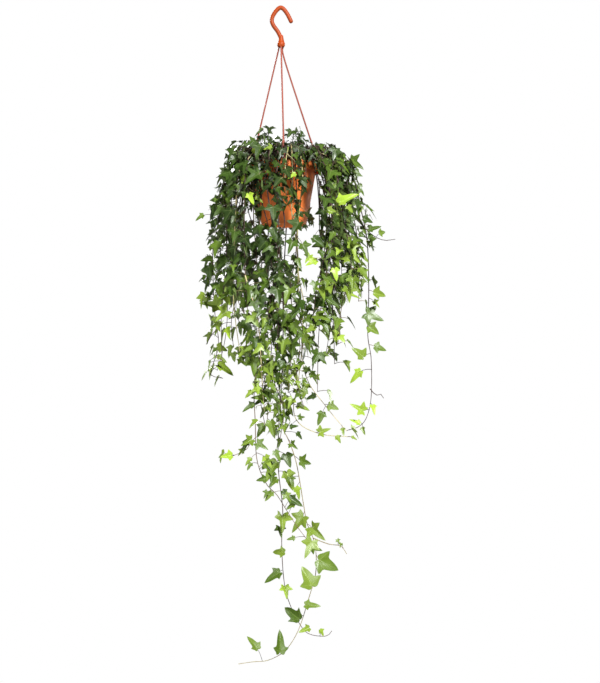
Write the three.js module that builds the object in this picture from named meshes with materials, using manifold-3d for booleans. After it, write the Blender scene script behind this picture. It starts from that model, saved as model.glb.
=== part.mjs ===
// A potted english ivy that hangs by a hook: pot, soil, hanger and trailing leafy stems.
// Millimetres, +Z up, +X to the viewer's right, +Y away from the viewer.
// The origin is the saddle of the hook, where a rail or a ceiling ring carries it.

import * as THREE from "three";
import { mergeVertices } from "three/addons/utils/BufferGeometryUtils.js";
import Module from "manifold-3d";

const wasm = await Module();
wasm.setup();

// Driving dimensions

const GAP = 0.3; // between pieces that touch

const ROD_RADIUS = 4.4; // the hook's rod
const SADDLE_RISE = 4.4; // from the saddle to the rod's centre line
const HEAD_X = 0.6; // the hook's head hangs this far from the saddle
const HEAD_BOTTOM = -77.6;

const STRAND_RADIUS = 1.75;
const STRAND_SPREAD = 4; // the strands leave the head this far from its axis
const STRAND_ANGLES = { strand_front: -90, strand_right: 30, strand_left: 150 };
const STRAND_BOW = { strand_front: 0, strand_right: 5, strand_left: 0 };
const CLIP_TOP = -268;
const CLIP_WIDTH = 7;
const CLIP_THICKNESS = 2;
const CLIP_TOP_RADIUS = 67.2; // middle of the clip's top, from the pot's axis
const SLOT_RADIUS = 70.9; // middle of the slots in the rim

const POT_X = 6.5; // the pot's axis
const POT_SIDES = 24;
const RIM_Z = -322;
const RIM_RADIUS = 75;
const LIP_HEIGHT = 17;
const LIP_WALL = 1.6;
const FLANGE_THICKNESS = 2;
const WALL = 1.8;
const NECK_RADIUS = 69; // outside of the wall, under the lip
const BASE_RADIUS = 46.5;
const POT_HEIGHT = 127.5;
const BASE_Z = RIM_Z - POT_HEIGHT;
const DRAIN_COUNT = 6;

const SOIL_Z = RIM_Z - 15;
const HOLE_DEPTH = 14;

const STEM_RADIUS = 1.8;
const STEM_STEP = 52; // one straight piece of a stem
const LEAF_THICKNESS = 0.8;
const LEAF_SPACING = 77; // along a stem
const FIVE_LOBES_FROM = 30; // shorter leaves have three lobes
const CLEAR_CELL = 3; // leaves and stems stay about this far apart

// Right half of a leaf one unit long, from the throat to the tip:
// throat, basal lobe, side lobe and the notch beside the middle lobe.
const THROAT = [0.026, 0];
const BASAL_LOBE = [0.3, -0.22];
const SIDE_LOBE = [0.57, 0.24];
const NOTCH = [0.23, 0.38];
const LEAF_FOLD = 0.16; // rise of the side lobes over the midrib
const LEAF_DROOP = 0.14; // fall of the tip

const COLOURS = {
  plastic: 0xd05a1c,
  soil: 0x3b2a1e,
  foliage: 0x3f6a2a,
};

// Trails that the photo shows, as points along each stem from the rim down, and
// the leaves that stand alone, as [x, z, length, heading] of each leaf's throat:
// heading 0 points down and 90 to the viewer's right.
const SHOWN_TRAILS = [
  {
    name: "trail_left_outer",
    route: [[-84, -10, -300], [-95, -20, -348], [-107, -27, -392], [-126, -30, -442],
      [-139, -30, -506], [-136, -25, -625], [-128, -25, -697], [-144, -25, -753],
      [-138, -25, -763], [-119, -20, -767]],
    shoots: [[[-131, -25, -666], [-142, -28, -678], [-153, -30, -697]]],
    leaves: [[-129, -618, 37, -100], [-129, -636, 23, -120], [-129, -702, 25, 85],
      [-127, -722, 21, 65], [-127, -741, 35, 50], [-141, -523, 23, -80]],
  },
  {
    name: "trail_left_second",
    route: [[-74, -43, -300], [-92, -56, -348], [-106, -68, -414], [-109, -72, -525],
      [-119, -66, -626], [-118, -64, -732]],
    leaves: [],
  },
  {
    name: "trail_left_third",
    route: [[-68, -62, -300], [-83, -88, -356], [-88, -100, -423], [-92, -101, -528],
      [-92, -98, -617], [-78, -90, -731]],
    leaves: [[-79, -726, 19, 40]],
  },
  {
    name: "trail_left_fourth",
    route: [[-58, -76, -300], [-68, -105, -356], [-70, -118, -430], [-69, -120, -529],
      [-65, -116, -618], [-50, -108, -697], [-53, -106, -738]],
    leaves: [[-53, -729, 32, 5]],
  },
  {
    name: "trail_left_tendril",
    route: [[-44, -72, -300], [-52, -95, -359], [-52, -100, -448], [-45, -92, -561],
      [-47, -88, -667], [-33, -85, -756], [-25, -80, -832], [-33, -80, -870],
      [-55, -79, -889], [-69, -78, -909], [-99, -75, -923]],
    leaves: [[-75, -909, 15, -40], [-98, -920, 22, -80], [-28, -826, 21, -30],
      [-32, -860, 28, -50], [-18, -850, 33, 10], [-56, -882, 27, -35], [-39, -881, 20, -30]],
  },
  {
    name: "trail_long_front",
    route: [[-29, -80, -300], [-37, -94, -364], [-41, -92, -447], [-27, -82, -546],
      [-14, -72, -626], [-7, -66, -727], [1, -60, -828], [4, -60, -864], [18, -58, -894],
      [33, -56, -940], [48, -55, -1027], [54, -54, -1060], [68, -52, -1095], [73, -52, -1129],
      [71, -52, -1169], [60, -51, -1207], [40, -50, -1271], [21, -47, -1308], [1, -46, -1329],
      [-28, -44, -1343], [-56, -42, -1346], [-86, -40, -1351]],
    shoots: [[[66, -52, -1091], [98, -54, -1103], [123, -54, -1107], [135, -55, -1123]]],
    leaves: [[46, -1047, 40, -45], [54, -1049, 32, 0], [66, -1069, 36, 55], [79, -1135, 45, 60],
      [63, -1180, 42, -150], [52, -1224, 29, 90], [38, -1253, 46, -130], [-1, -1320, 41, 175],
      [-47, -1316, 31, -155], [-45, -1319, 16, -45], [41, -934, 28, 90], [34, -876, 17, 50],
      [44, -880, 26, 65], [23, -898, 18, 50], [31, -987, 25, 20]],
  },
  {
    name: "trail_centre_left",
    route: [[-19, -88, -300], [-26, -115, -369], [-16, -125, -451], [-4, -121, -524],
      [-18, -115, -603], [-28, -111, -677], [-50, -105, -771], [-49, -101, -855],
      [-46, -97, -926], [-28, -95, -974], [-6, -92, -998], [16, -88, -1034], [35, -86, -1063],
      [61, -86, -1097]],
    leaves: [[-52, -818, 25, -50], [-31, -803, 27, -85], [-29, -920, 26, 40],
      [-30, -964, 18, -75], [-15, -953, 22, -5], [-17, -991, 21, -35], [6, -989, 22, 50],
      [-58, -924, 17, -40], [63, -1091, 36, -25]],
  },
  {
    name: "trail_centre_front",
    route: [[-3, -90, -300], [-6, -125, -376], [-2, -130, -451], [0, -123, -529],
      [7, -112, -618], [22, -104, -706], [16, -99, -794]],
    leaves: [[27, -749, 22, 15], [25, -693, 29, 0], [25, -805, 21, -15]],
  },
  {
    name: "trail_centre_right",
    route: [[23, -90, -300], [25, -112, -369], [24, -115, -439], [35, -106, -508],
      [37, -95, -587], [46, -90, -667], [37, -84, -767], [27, -82, -827], [42, -80, -859],
      [86, -78, -878], [142, -76, -883]],
    leaves: [[36, -820, 25, 60], [21, -862, 16, 90], [80, -873, 23, 110], [113, -882, 16, 30],
      [144, -883, 12, 70], [38, -843, 15, 105], [20, -338, 18, 5], [38, -458, 33, -38]],
  },
  {
    name: "trail_right_diagonal",
    route: [[37, -80, -300], [45, -102, -364], [36, -100, -458], [36, -86, -547],
      [53, -72, -646], [44, -68, -717], [57, -64, -773], [93, -61, -823], [114, -60, -849],
      [135, -60, -873]],
    leaves: [[85, -835, 26, -20], [99, -819, 22, 65], [126, -866, 15, 10], [71, -801, 22, -80]],
  },
  {
    name: "trail_right_bare",
    route: [[57, -72, -300], [72, -80, -352], [78, -82, -410], [80, -80, -476],
      [88, -75, -526], [102, -70, -596], [108, -68, -667], [110, -62, -737]],
    leaves: [[87, -430, 29, 10], [88, -495, 26, -85]],
  },
  {
    name: "trail_right_fourth",
    route: [[73, -72, -300], [94, -100, -359], [103, -111, -439], [101, -110, -508],
      [85, -102, -597], [77, -95, -686], [75, -90, -792]],
    leaves: [[93, -609, 29, 60], [78, -613, 27, -30]],
  },
  {
    name: "trail_right_third",
    route: [[85, -62, -300], [112, -84, -352], [123, -95, -418], [135, -95, -487],
      [142, -94, -552], [124, -89, -617], [116, -85, -697]],
    leaves: [[136, -526, 22, -100], [139, -568, 23, 75], [120, -681, 17, 35]],
  },
  {
    name: "trail_right_shoot",
    route: [[99, -46, -300], [130, -60, -348], [141, -70, -409], [152, -71, -459],
      [160, -66, -525], [159, -60, -610]],
    shoots: [[[149, -71, -440], [168, -72, -459], [187, -74, -477], [209, -76, -487],
      [232, -76, -485]]],
    leaves: [[168, -445, 21, 70], [181, -467, 22, 100], [198, -475, 17, 105],
      [196, -482, 18, 0], [180, -476, 12, -25]],
  },
  {
    name: "trail_far_right",
    route: [[112, -16, -300], [146, -26, -345], [160, -31, -399], [177, -38, -482],
      [181, -36, -584], [179, -35, -676], [186, -35, -727], [186, -35, -804],
      [177, -34, -846], [162, -33, -865], [140, -32, -873]],
    shoots: [[[184, -35, -788], [195, -40, -801], [203, -43, -797], [211, -45, -807]]],
    leaves: [[178, -634, 37, 65], [172, -639, 22, -35], [181, -661, 26, 50], [188, -620, 22, -80],
      [191, -610, 16, 35], [191, -593, 27, 80], [194, -702, 25, 85], [168, -722, 29, -135],
      [163, -752, 32, -55], [168, -832, 29, -120], [188, -822, 21, 5], [161, -858, 21, -110],
      [168, -868, 15, 20]],
  },
  {
    name: "trail_long_back",
    route: [[21, 98, -300], [16, 112, -370], [9, 100, -464], [4, 70, -579], [4, 45, -686],
      [0, 25, -797], [-5, 5, -884], [-5, 0, -957], [4, -5, -1039], [2, -6, -1112],
      [7, -8, -1189], [19, -10, -1236], [42, -10, -1281], [60, -10, -1298], [94, -10, -1302],
      [106, -10, -1291]],
    leaves: [[3, -1053, 37, -5], [7, -1126, 29, -90], [-3, -1168, 35, -65], [9, -1199, 25, 5],
      [58, -1282, 22, -55], [81, -1286, 15, 35], [-9, -943, 44, -16], [13, -963, 38, 14],
      [11, -925, 29, 20], [-1, -894, 19, -15]],
  },
];

// Trails on the sides and the back, as [angle round the pot, reach from its axis, drop].
const HIDDEN_TRAILS = [
  [-2, 122, 270], [10, 138, 260], [22, 114, 320], [37, 136, 360], [42, 116, 300], [49, 134, 400],
  [64, 106, 120], [76, 130, 120], [90, 128, 130], [101, 110, 330], [112, 130, 120],
  [129, 120, 400], [135, 136, 300], [145, 108, 400], [157, 128, 260], [167, 106, 380],
  [177, 120, 430],
];

const CROWN_COUNT = 8; // short upright sprays over the soil

// The place from which the photo's view is measured, and windows in that view, as left,
// right, bottom and top at the hook's distance: white gaps that no leaf covers, and
// patches of bare pot that no leaf hangs before.
const VIEW_PLACE = [40, -2300, -691];
const OPEN_GAPS = [
  [-53, -39, -553, -449], [3, 24, -522, -457], [40, 78, -559, -457], [82, 93, -366, -345],
  [-122, -110, -513, -496], [-89, -79, -505, -486], [115, 138, -554, -538],
  [-103, -77, -414, -393], [-76, -52, -441, -418], [68, 80, -460, -345],
];
const POT_FRONT = -45;
const BARE_POT = [
  [-1, 21, -455, -420], [44, 65, -418, -391], [59, 69, -382, -366], [23, 36, -374, -357],
  [38, 55, -451, -430], [19, 28, -424, -401], [15, 26, -328, -318], [53, 67, -332, -318],
  [53, 71, -349, -334], [-36, -21, -410, -382], [-34, -20, -446, -431],
];
const WINDOW_SHARE = 0.06; // of a leaf may reach into the windows

// Solids

function mergedSurface(geometry) {
  const bare = geometry.index ? geometry.toNonIndexed() : geometry.clone();
  for (const name of Object.keys(bare.attributes)) {
    if (name !== "position") bare.deleteAttribute(name);
  }
  return mergeVertices(bare, 1e-4);
}

function triangleList(surface) {
  const index = surface.index.array;
  const kept = [];
  for (let k = 0; k < index.length; k += 3) {
    const [a, b, c] = [index[k], index[k + 1], index[k + 2]];
    if (a !== b && b !== c && a !== c) kept.push([a, b, c]);
  }
  return kept;
}

function signedVolume(surface, triangles) {
  const corner = [0, 1, 2].map(() => new THREE.Vector3());
  let volume = 0;
  for (const triangle of triangles) {
    triangle.forEach((vertex, k) => corner[k].fromBufferAttribute(surface.attributes.position, vertex));
    volume += corner[0].dot(corner[1].cross(corner[2])) / 6;
  }
  return volume;
}

function toSolid(geometry) {
  const surface = mergedSurface(geometry);
  let triangles = triangleList(surface);
  if (signedVolume(surface, triangles) < 0) {
    triangles = triangles.map(([a, b, c]) => [a, c, b]);
  }
  return new wasm.Manifold(new wasm.Mesh({
    numProp: 3,
    vertProperties: Float32Array.from(surface.attributes.position.array),
    triVerts: Uint32Array.from(triangles.flat()),
  }));
}

function toGeometry(solid) {
  const mesh = solid.getMesh();
  const geometry = new THREE.BufferGeometry();
  geometry.setAttribute("position", new THREE.BufferAttribute(mesh.vertProperties, 3));
  geometry.setIndex(new THREE.BufferAttribute(mesh.triVerts, 1));
  geometry.computeVertexNormals();
  return geometry;
}

function joined(solids) {
  return solids.reduce((sum, solid) => sum.add(solid));
}

function latheAlongZ(profile, sides) {
  const points = profile.map(([radius, z]) => new THREE.Vector2(radius, z));
  return new THREE.LatheGeometry(points, sides).rotateX(Math.PI / 2);
}

function roundSection(radius, sides) {
  const shape = new THREE.Shape();
  for (let k = 0; k < sides; k++) {
    const angle = 2 * Math.PI * k / sides;
    const place = [radius * Math.cos(angle), radius * Math.sin(angle)];
    if (k === 0) shape.moveTo(...place);
    else shape.lineTo(...place);
  }
  shape.closePath();
  return shape;
}

function smoothCurve(points) {
  const places = points.map((point) => new THREE.Vector3(...point));
  return new THREE.CatmullRomCurve3(places, false, "catmullrom", 0.5);
}

function tube(curve, radius, sides, steps) {
  const options = { steps, bevelEnabled: false, extrudePath: curve };
  return new THREE.ExtrudeGeometry(roundSection(radius, sides), options);
}

function aroundPot(radius, degrees, z) {
  const angle = THREE.MathUtils.degToRad(degrees);
  return [POT_X + radius * Math.cos(angle), radius * Math.sin(angle), z];
}

// Hook: a bent rod with a flared head, in one moulding

function strandTop(degrees, z) {
  const angle = THREE.MathUtils.degToRad(degrees);
  return [HEAD_X + STRAND_SPREAD * Math.cos(angle), STRAND_SPREAD * Math.sin(angle), z];
}

function strandRoute(name) {
  const degrees = STRAND_ANGLES[name];
  const top = new THREE.Vector3(...strandTop(degrees, HEAD_BOTTOM + 3));
  const end = new THREE.Vector3(...aroundPot(CLIP_TOP_RADIUS, degrees, CLIP_TOP - 4));
  const early = top.clone().lerp(end, 0.16);
  early.x -= STRAND_BOW[name];
  return [top.toArray(), early.toArray(), end.toArray()];
}

function buildHook() {
  const bend = smoothCurve([
    [0.6, 0, -62], [-1.2, 0, -55.7], [-6.4, 0, -45.3], [-14.6, 0, -33.9], [-18.6, 0, -24.5],
    [-17.6, 0, -16], [-12.4, 0, -6.2], [-5.8, 0, 1.6], [0.4, 0, SADDLE_RISE], [6.9, 0, 0.2],
    [14.2, 0, -10], [21.2, 0, -24],
  ]);
  const rod = toSolid(tube(bend, ROD_RADIUS, 8, 16));
  const tip = new THREE.SphereGeometry(ROD_RADIUS, 8, 6).translate(21.2, 0, -24);
  const head = latheAlongZ([
    [0, -53], [4.2, -54], [5.3, -60], [7, -68], [8.2, -70], [8.2, -74.5], [7.1, HEAD_BOTTOM],
    [0, HEAD_BOTTOM],
  ], 12).translate(HEAD_X, 0, 0);
  let hook = rod.add(toSolid(tip)).add(toSolid(head));
  for (const name of Object.keys(STRAND_ANGLES)) {
    const [top, early] = strandRoute(name).map((point) => new THREE.Vector3(...point));
    const along = early.clone().sub(top).normalize();
    const start = top.clone().addScaledVector(along, -GAP);
    const end = top.clone().addScaledVector(along, 8);
    const socket = tube(new THREE.LineCurve3(start, end), STRAND_RADIUS + 1.4 * GAP, 8, 1);
    hook = hook.subtract(toSolid(socket));
  }
  return hook;
}

// Strand: a thin rod that ends in a flat clip, snapped through a slot in the rim

function clipOutline() {
  const shape = new THREE.Shape();
  const half = CLIP_THICKNESS / 2;
  const catchZ = RIM_Z - FLANGE_THICKNESS - GAP;
  const catchRadius = (RIM_RADIUS - LIP_WALL) * Math.cos(Math.PI / POT_SIDES) - 2 * GAP;
  shape.moveTo(CLIP_TOP_RADIUS - half, CLIP_TOP);
  shape.lineTo(CLIP_TOP_RADIUS + half, CLIP_TOP);
  shape.lineTo(SLOT_RADIUS + half, RIM_Z + 10);
  shape.lineTo(SLOT_RADIUS + half, catchZ);
  shape.lineTo(catchRadius, catchZ);
  shape.lineTo(catchRadius, catchZ - 2);
  shape.lineTo(SLOT_RADIUS + half - 0.4, catchZ - 7);
  shape.lineTo(SLOT_RADIUS - half, catchZ - 7);
  shape.lineTo(SLOT_RADIUS - half, RIM_Z + 10);
  shape.closePath();
  return shape;
}

function buildStrand(name) {
  const rod = toSolid(tube(smoothCurve(strandRoute(name)), STRAND_RADIUS, 6, 7));
  const clip = new THREE.ExtrudeGeometry(clipOutline(), { depth: CLIP_WIDTH, bevelEnabled: false });
  clip.rotateX(Math.PI / 2);
  clip.translate(0, CLIP_WIDTH / 2, 0);
  clip.rotateZ(THREE.MathUtils.degToRad(STRAND_ANGLES[name]));
  clip.translate(POT_X, 0, 0);
  return rod.add(toSolid(clip));
}

// Pot: a thin-walled cup with a flat flange, a hanging lip, a foot ring and drain holes

function wallRadiusAt(z) {
  const share = (z - BASE_Z) / (POT_HEIGHT - FLANGE_THICKNESS);
  return BASE_RADIUS + (NECK_RADIUS - BASE_RADIUS) * share;
}

function buildPot() {
  const floorZ = BASE_Z + 3;
  const innerFloorZ = floorZ + 2.5;
  const skirtRadius = RIM_RADIUS - LIP_WALL;
  const flangeUnder = RIM_Z - FLANGE_THICKNESS;
  const lipBottom = RIM_Z - LIP_HEIGHT;
  const body = latheAlongZ([
    [0, floorZ], [BASE_RADIUS - 8, floorZ], [BASE_RADIUS - 6.5, BASE_Z], [BASE_RADIUS - 1.5, BASE_Z],
    [wallRadiusAt(BASE_Z + 1.5), BASE_Z + 1.5], [NECK_RADIUS, flangeUnder],
    [skirtRadius, flangeUnder], [skirtRadius, lipBottom], [RIM_RADIUS, lipBottom],
    [RIM_RADIUS, RIM_Z - 1.2], [RIM_RADIUS - 1, RIM_Z], [NECK_RADIUS - WALL, RIM_Z],
    [wallRadiusAt(innerFloorZ) - WALL, innerFloorZ], [0, innerFloorZ],
  ], POT_SIDES).translate(POT_X, 0, 0);
  let pot = toSolid(body);
  for (const degrees of Object.values(STRAND_ANGLES)) {
    const slot = new THREE.BoxGeometry(CLIP_THICKNESS + 2 * GAP, CLIP_WIDTH + 2 * GAP, 6);
    slot.translate(SLOT_RADIUS, 0, RIM_Z);
    slot.rotateZ(THREE.MathUtils.degToRad(degrees));
    slot.translate(POT_X, 0, 0);
    pot = pot.subtract(toSolid(slot));
  }
  for (let k = 0; k < DRAIN_COUNT; k++) {
    const hole = new THREE.CylinderGeometry(4, 4, 12, 8).rotateX(Math.PI / 2);
    hole.translate(...aroundPot(28, 360 * k / DRAIN_COUNT, floorZ));
    pot = pot.subtract(toSolid(hole));
  }
  return pot;
}

// Soil: fills the pot, with a plain hole for each stem

function buildSoil(stems) {
  const bottomZ = BASE_Z + 5.5 + GAP;
  const clear = WALL + 1.5 * GAP;
  const body = latheAlongZ([
    [0, bottomZ], [wallRadiusAt(bottomZ) - clear, bottomZ], [wallRadiusAt(SOIL_Z) - clear, SOIL_Z],
    [0, SOIL_Z],
  ], POT_SIDES).translate(POT_X, 0, 0);
  const holes = stems.map((stem) => {
    const [start, next] = stem.line;
    const along = next.clone().sub(start).normalize();
    const bottom = start.clone().addScaledVector(along, -3 * GAP);
    const top = start.clone().addScaledVector(along, 2 * HOLE_DEPTH);
    return toSolid(tube(new THREE.LineCurve3(bottom, top), STEM_RADIUS + 2, 4, 1));
  });
  return toSolid(body).subtract(joined(holes));
}

// Seeded random numbers from 0 to 1

function randomStream(seed) {
  let state = seed >>> 0;
  return function next() {
    state = (state + 0x6d2b79f5) >>> 0;
    let mixed = Math.imul(state ^ (state >>> 15), state | 1);
    mixed ^= mixed + Math.imul(mixed ^ (mixed >>> 7), mixed | 61);
    return ((mixed ^ (mixed >>> 14)) >>> 0) / 4294967296;
  };
}

// Space kept by stems and leaves: a grid of cells, each holding who came first

const SPACE_LOW = new THREE.Vector3(-240, -240, -1400);
const SPACE_CELLS = [170, 160, 450];
const space = new Int16Array(SPACE_CELLS[0] * SPACE_CELLS[1] * SPACE_CELLS[2]);

function cellOf(point) {
  return [
    Math.floor((point.x - SPACE_LOW.x) / CLEAR_CELL),
    Math.floor((point.y - SPACE_LOW.y) / CLEAR_CELL),
    Math.floor((point.z - SPACE_LOW.z) / CLEAR_CELL),
  ];
}

function cellIndex(i, j, k) {
  return (i * SPACE_CELLS[1] + j) * SPACE_CELLS[2] + k;
}

function keepSpace(points, owner) {
  for (const point of points) {
    const [i, j, k] = cellOf(point);
    for (let di = -1; di <= 1; di++) {
      for (let dj = -1; dj <= 1; dj++) {
        for (let dk = -1; dk <= 1; dk++) {
          const cell = cellIndex(i + di, j + dj, k + dk);
          if (space[cell] === 0) space[cell] = owner;
        }
      }
    }
  }
}

function insidePot(point) {
  const radius = Math.hypot(point.x - POT_X, point.y);
  if (point.z > RIM_Z + 3 || point.z < BASE_Z - 4) return false;
  if (point.z > RIM_Z - LIP_HEIGHT - 4 && radius < RIM_RADIUS + 4) {
    return point.z < SOIL_Z + 4 || radius > NECK_RADIUS - WALL - 4;
  }
  return radius < wallRadiusAt(point.z) + 4;
}

function isFree(points, ownStem, nearCount) {
  return points.every((point, order) => {
    const owner = space[cellIndex(...cellOf(point))];
    const allowed = owner === 0 || (owner === ownStem && order < nearCount);
    return allowed && !insidePot(point);
  });
}

function pointsAlong(from, to, step) {
  const count = Math.max(1, Math.ceil(from.distanceTo(to) / step));
  const points = [];
  for (let k = 0; k <= count; k++) points.push(from.clone().lerp(to, k / count));
  return points;
}

// Leaf: a thin lobed blade, folded along its midrib, on a flat stalk in one outline

function leafFrame(joint, normalWish, axisWish) {
  const normal = normalWish.clone().normalize();
  const axis = axisWish.clone().addScaledVector(normal, -axisWish.dot(normal)).normalize();
  const side = axis.clone().cross(normal);
  return { joint, normal, axis, side };
}

function onLeaf(leaf, x, y) {
  const lift = LEAF_FOLD * Math.abs(x) - LEAF_DROOP * y * Math.max(y, 0);
  return leaf.joint.clone()
    .addScaledVector(leaf.side, x * leaf.length)
    .addScaledVector(leaf.axis, y * leaf.length)
    .addScaledVector(leaf.normal, lift * leaf.length);
}

function lobesOf(length) {
  return length > FIVE_LOBES_FROM ? 5 : 3;
}

function halfOutline(leaf) {
  return leaf.lobes === 5 ? [THROAT, BASAL_LOBE, SIDE_LOBE, NOTCH] : [THROAT, SIDE_LOBE, NOTCH];
}

function leafOutline(leaf) {
  const right = halfOutline(leaf);
  const left = right.map(([x, y]) => [-x, y]).reverse();
  return [...right, [0, 1], ...left];
}

function leafSamples(leaf) {
  const half = halfOutline(leaf);
  const points = pointsAlong(leaf.root, leaf.joint, 2);
  const corners = [...half, [0, 1]];
  for (const mirror of [1, -1]) {
    for (let k = 1; k + 1 < corners.length; k++) {
      const [a, b, c] = [corners[0], corners[k], corners[k + 1]]
        .map(([x, y]) => onLeaf(leaf, mirror * x, y));
      const rows = Math.ceil(Math.max(a.distanceTo(b), b.distanceTo(c), c.distanceTo(a)) / 2.6);
      for (let row = 1; row <= rows; row++) {
        const from = a.clone().lerp(b, row / rows);
        const to = a.clone().lerp(c, row / rows);
        for (let step = 0; step <= row; step++) points.push(from.clone().lerp(to, step / row));
      }
    }
  }
  return points;
}

function leafSolid(leaf) {
  const half = LEAF_THICKNESS / 2;
  const stalk = leaf.joint.clone().sub(leaf.root).normalize();
  const stalkSide = leaf.side.clone().addScaledVector(stalk, -leaf.side.dot(stalk)).normalize();
  const stalkNormal = stalkSide.clone().cross(stalk);
  const mitre = leaf.normal.clone().add(stalkNormal)
    .divideScalar(Math.max(0.5, 1 + leaf.normal.dot(stalkNormal)));
  const outline = leafOutline(leaf);
  const last = outline.length - 1;
  const middle = outline.map(([x, y]) => onLeaf(leaf, x, y));
  const shift = outline.map((_, k) => (k === 0 || k === last ? mitre : leaf.normal));
  for (const corner of [last, 0]) {
    middle.push(middle[corner].clone().sub(leaf.joint).add(leaf.root));
    shift.push(mitre);
  }
  const count = middle.length;
  const positions = [];
  for (const face of [half, -half]) {
    middle.forEach((point, k) => {
      positions.push(...point.clone().addScaledVector(shift[k], face).toArray());
    });
  }
  const tip = (last + 1) / 2 - 0.5;
  const top = [[last, last + 1, 0], [last + 1, last + 2, 0], [last, 0, tip]];
  for (let k = 1; k + 1 <= tip; k++) {
    top.push([0, k, k + 1]);
    top.push([last, last - k - 1, last - k]);
  }
  const index = [];
  for (const [a, b, c] of top) {
    index.push(a, b, c);
    index.push(a + count, c + count, b + count);
  }
  for (let k = 0; k < count; k++) {
    const next = (k + 1) % count;
    index.push(k, k + count, next + count);
    index.push(k, next + count, next);
  }
  const geometry = new THREE.BufferGeometry();
  geometry.setAttribute("position", new THREE.Float32BufferAttribute(positions, 3));
  geometry.setIndex(index);
  return toSolid(geometry);
}

// Stem: a slim three-sided tube along its route

function makeStem(points) {
  const curve = smoothCurve(points);
  const steps = Math.max(2, Math.round(curve.getLength() / STEM_STEP));
  const line = curve.getSpacedPoints(steps);
  const starts = [0];
  for (let k = 1; k < line.length; k++) {
    starts.push(starts[k - 1] + line[k].distanceTo(line[k - 1]));
  }
  return { curve, steps, line, starts, length: starts[steps] };
}

function pointOnStem(stem, distance) {
  let piece = 0;
  while (piece < stem.steps - 1 && stem.starts[piece + 1] < distance) piece++;
  const span = stem.starts[piece + 1] - stem.starts[piece];
  const share = Math.min(1, (distance - stem.starts[piece]) / span);
  return stem.line[piece].clone().lerp(stem.line[piece + 1], share);
}

function nearestInView(stem, x, z) {
  let best = { away: Infinity, distance: 0 };
  for (let distance = 0; distance <= stem.length; distance += 2) {
    const point = pointOnStem(stem, distance);
    const away = Math.hypot(point.x - x, point.z - z);
    if (away < best.away) best = { away, distance };
  }
  return best;
}

// Leaves that the photo shows: they face the viewer and stand in front of their stem

function placeShownLeaf(plant, spec, seed) {
  const [x, z, length, heading] = spec;
  const near = plant.stems.map((stem) => nearestInView(stem, x, z));
  const chosen = near.reduce((best, one, k) => (one.away < near[best].away ? k : best), 0);
  const stem = plant.stems[chosen];
  const distance = Math.min(stem.length - 1, Math.max(1, near[chosen].distance - 5));
  const root = pointOnStem(stem, distance);
  const random = randomStream(seed);
  const turn = THREE.MathUtils.degToRad(heading);
  const axisWish = new THREE.Vector3(Math.sin(turn), 0.7 * random() - 0.35, -Math.cos(turn));
  const normalWish = new THREE.Vector3(1.3 * random() - 0.65, -1, 0.1 + 0.7 * random());
  for (let lift = 8; lift <= 32; lift += 6) {
    const joint = new THREE.Vector3(x, root.y - lift, z);
    const leaf = leafFrame(joint, normalWish, axisWish);
    Object.assign(leaf, { root, length, lobes: lobesOf(length), distance, stem: chosen });
    const samples = leafSamples(leaf);
    if (isFree(samples, plant.owner, 4)) {
      keepSpace(samples.slice(4), plant.owner + 1);
      plant.leaves.push(leaf);
      return;
    }
  }
}

// Leaves by rule: alternate sides, facing out and up, tips hanging

function coversWindow(samples) {
  const [viewX, viewY, viewZ] = VIEW_PLACE;
  const covering = samples.filter((point) => {
    const depth = (point.y - viewY) / -viewY;
    const x = viewX + (point.x - viewX) / depth;
    const z = viewZ + (point.z - viewZ) / depth;
    const holds = ([left, right, bottom, top]) => x > left && x < right && z > bottom && z < top;
    return OPEN_GAPS.some(holds) || (point.y < POT_FRONT && BARE_POT.some(holds));
  });
  return covering.length > WINDOW_SHARE * samples.length;
}

function placeRuledLeaf(plant, distance, side, seed) {
  const stem = plant.stems[0];
  const random = randomStream(seed);
  const root = pointOnStem(stem, distance);
  const share = distance / stem.length;
  const out = new THREE.Vector3(root.x - POT_X, root.y, 0).normalize();
  const up = new THREE.Vector3(0, 0, 1);
  const across = up.clone().cross(out).multiplyScalar(side);
  const wish = (outPart, acrossPart, upPart) => new THREE.Vector3()
    .addScaledVector(out, outPart)
    .addScaledVector(across, acrossPart)
    .addScaledVector(up, upPart);
  for (let attempt = 0; attempt < 16; attempt++) {
    const length = (plant.crown ? 28 : 36 - 9 * share) * (0.85 + 0.3 * random());
    const reach = (plant.crown ? 14 : 9) + (26 - 12 * share) * random();
    const stalk = wish(0.3 + 0.8 * random(), 0.3 + 0.9 * random(), plant.lift * random() - 0.1);
    const joint = root.clone().addScaledVector(stalk.normalize(), reach);
    const normalWish = wish(0.9, 0.9 * random() - 0.3, 0.2 + (plant.crown ? 1.6 : 0.8) * random());
    const axisWish = wish(0.5 * random() + 0.2, 1.5 * random() - 0.5, -1).addScaledVector(stalk, 0.3);
    const leaf = leafFrame(joint, normalWish, axisWish);
    Object.assign(leaf, { root, length, lobes: lobesOf(length), distance, stem: 0 });
    const samples = leafSamples(leaf);
    if (isFree(samples, plant.owner, 4) && !coversWindow(samples)) {
      keepSpace(samples.slice(4), plant.owner + 1);
      plant.leaves.push(leaf);
      return;
    }
  }
}

// Plants: every leafy stem with its route, from its hole in the soil over the rim

function hiddenRoute([angle, reach, drop], order) {
  const random = randomStream(900 + order);
  const sway = () => 28 * (random() - 0.5);
  const route = [aroundPot(87, angle, RIM_Z + 28), aroundPot(0.85 * reach, angle + 1, RIM_Z - 16)];
  const pieces = Math.ceil(drop / 70);
  for (let k = 1; k <= pieces; k++) {
    const radius = reach * (0.9 + 0.15 * k / pieces);
    const [x, y, z] = aroundPot(radius, angle, RIM_Z - 16 - (drop - 16) * k / pieces);
    route.push([x + sway(), y + sway(), z]);
  }
  return route;
}

function angleOf([x, y]) {
  return THREE.MathUtils.radToDeg(Math.atan2(y, x - POT_X));
}

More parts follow.
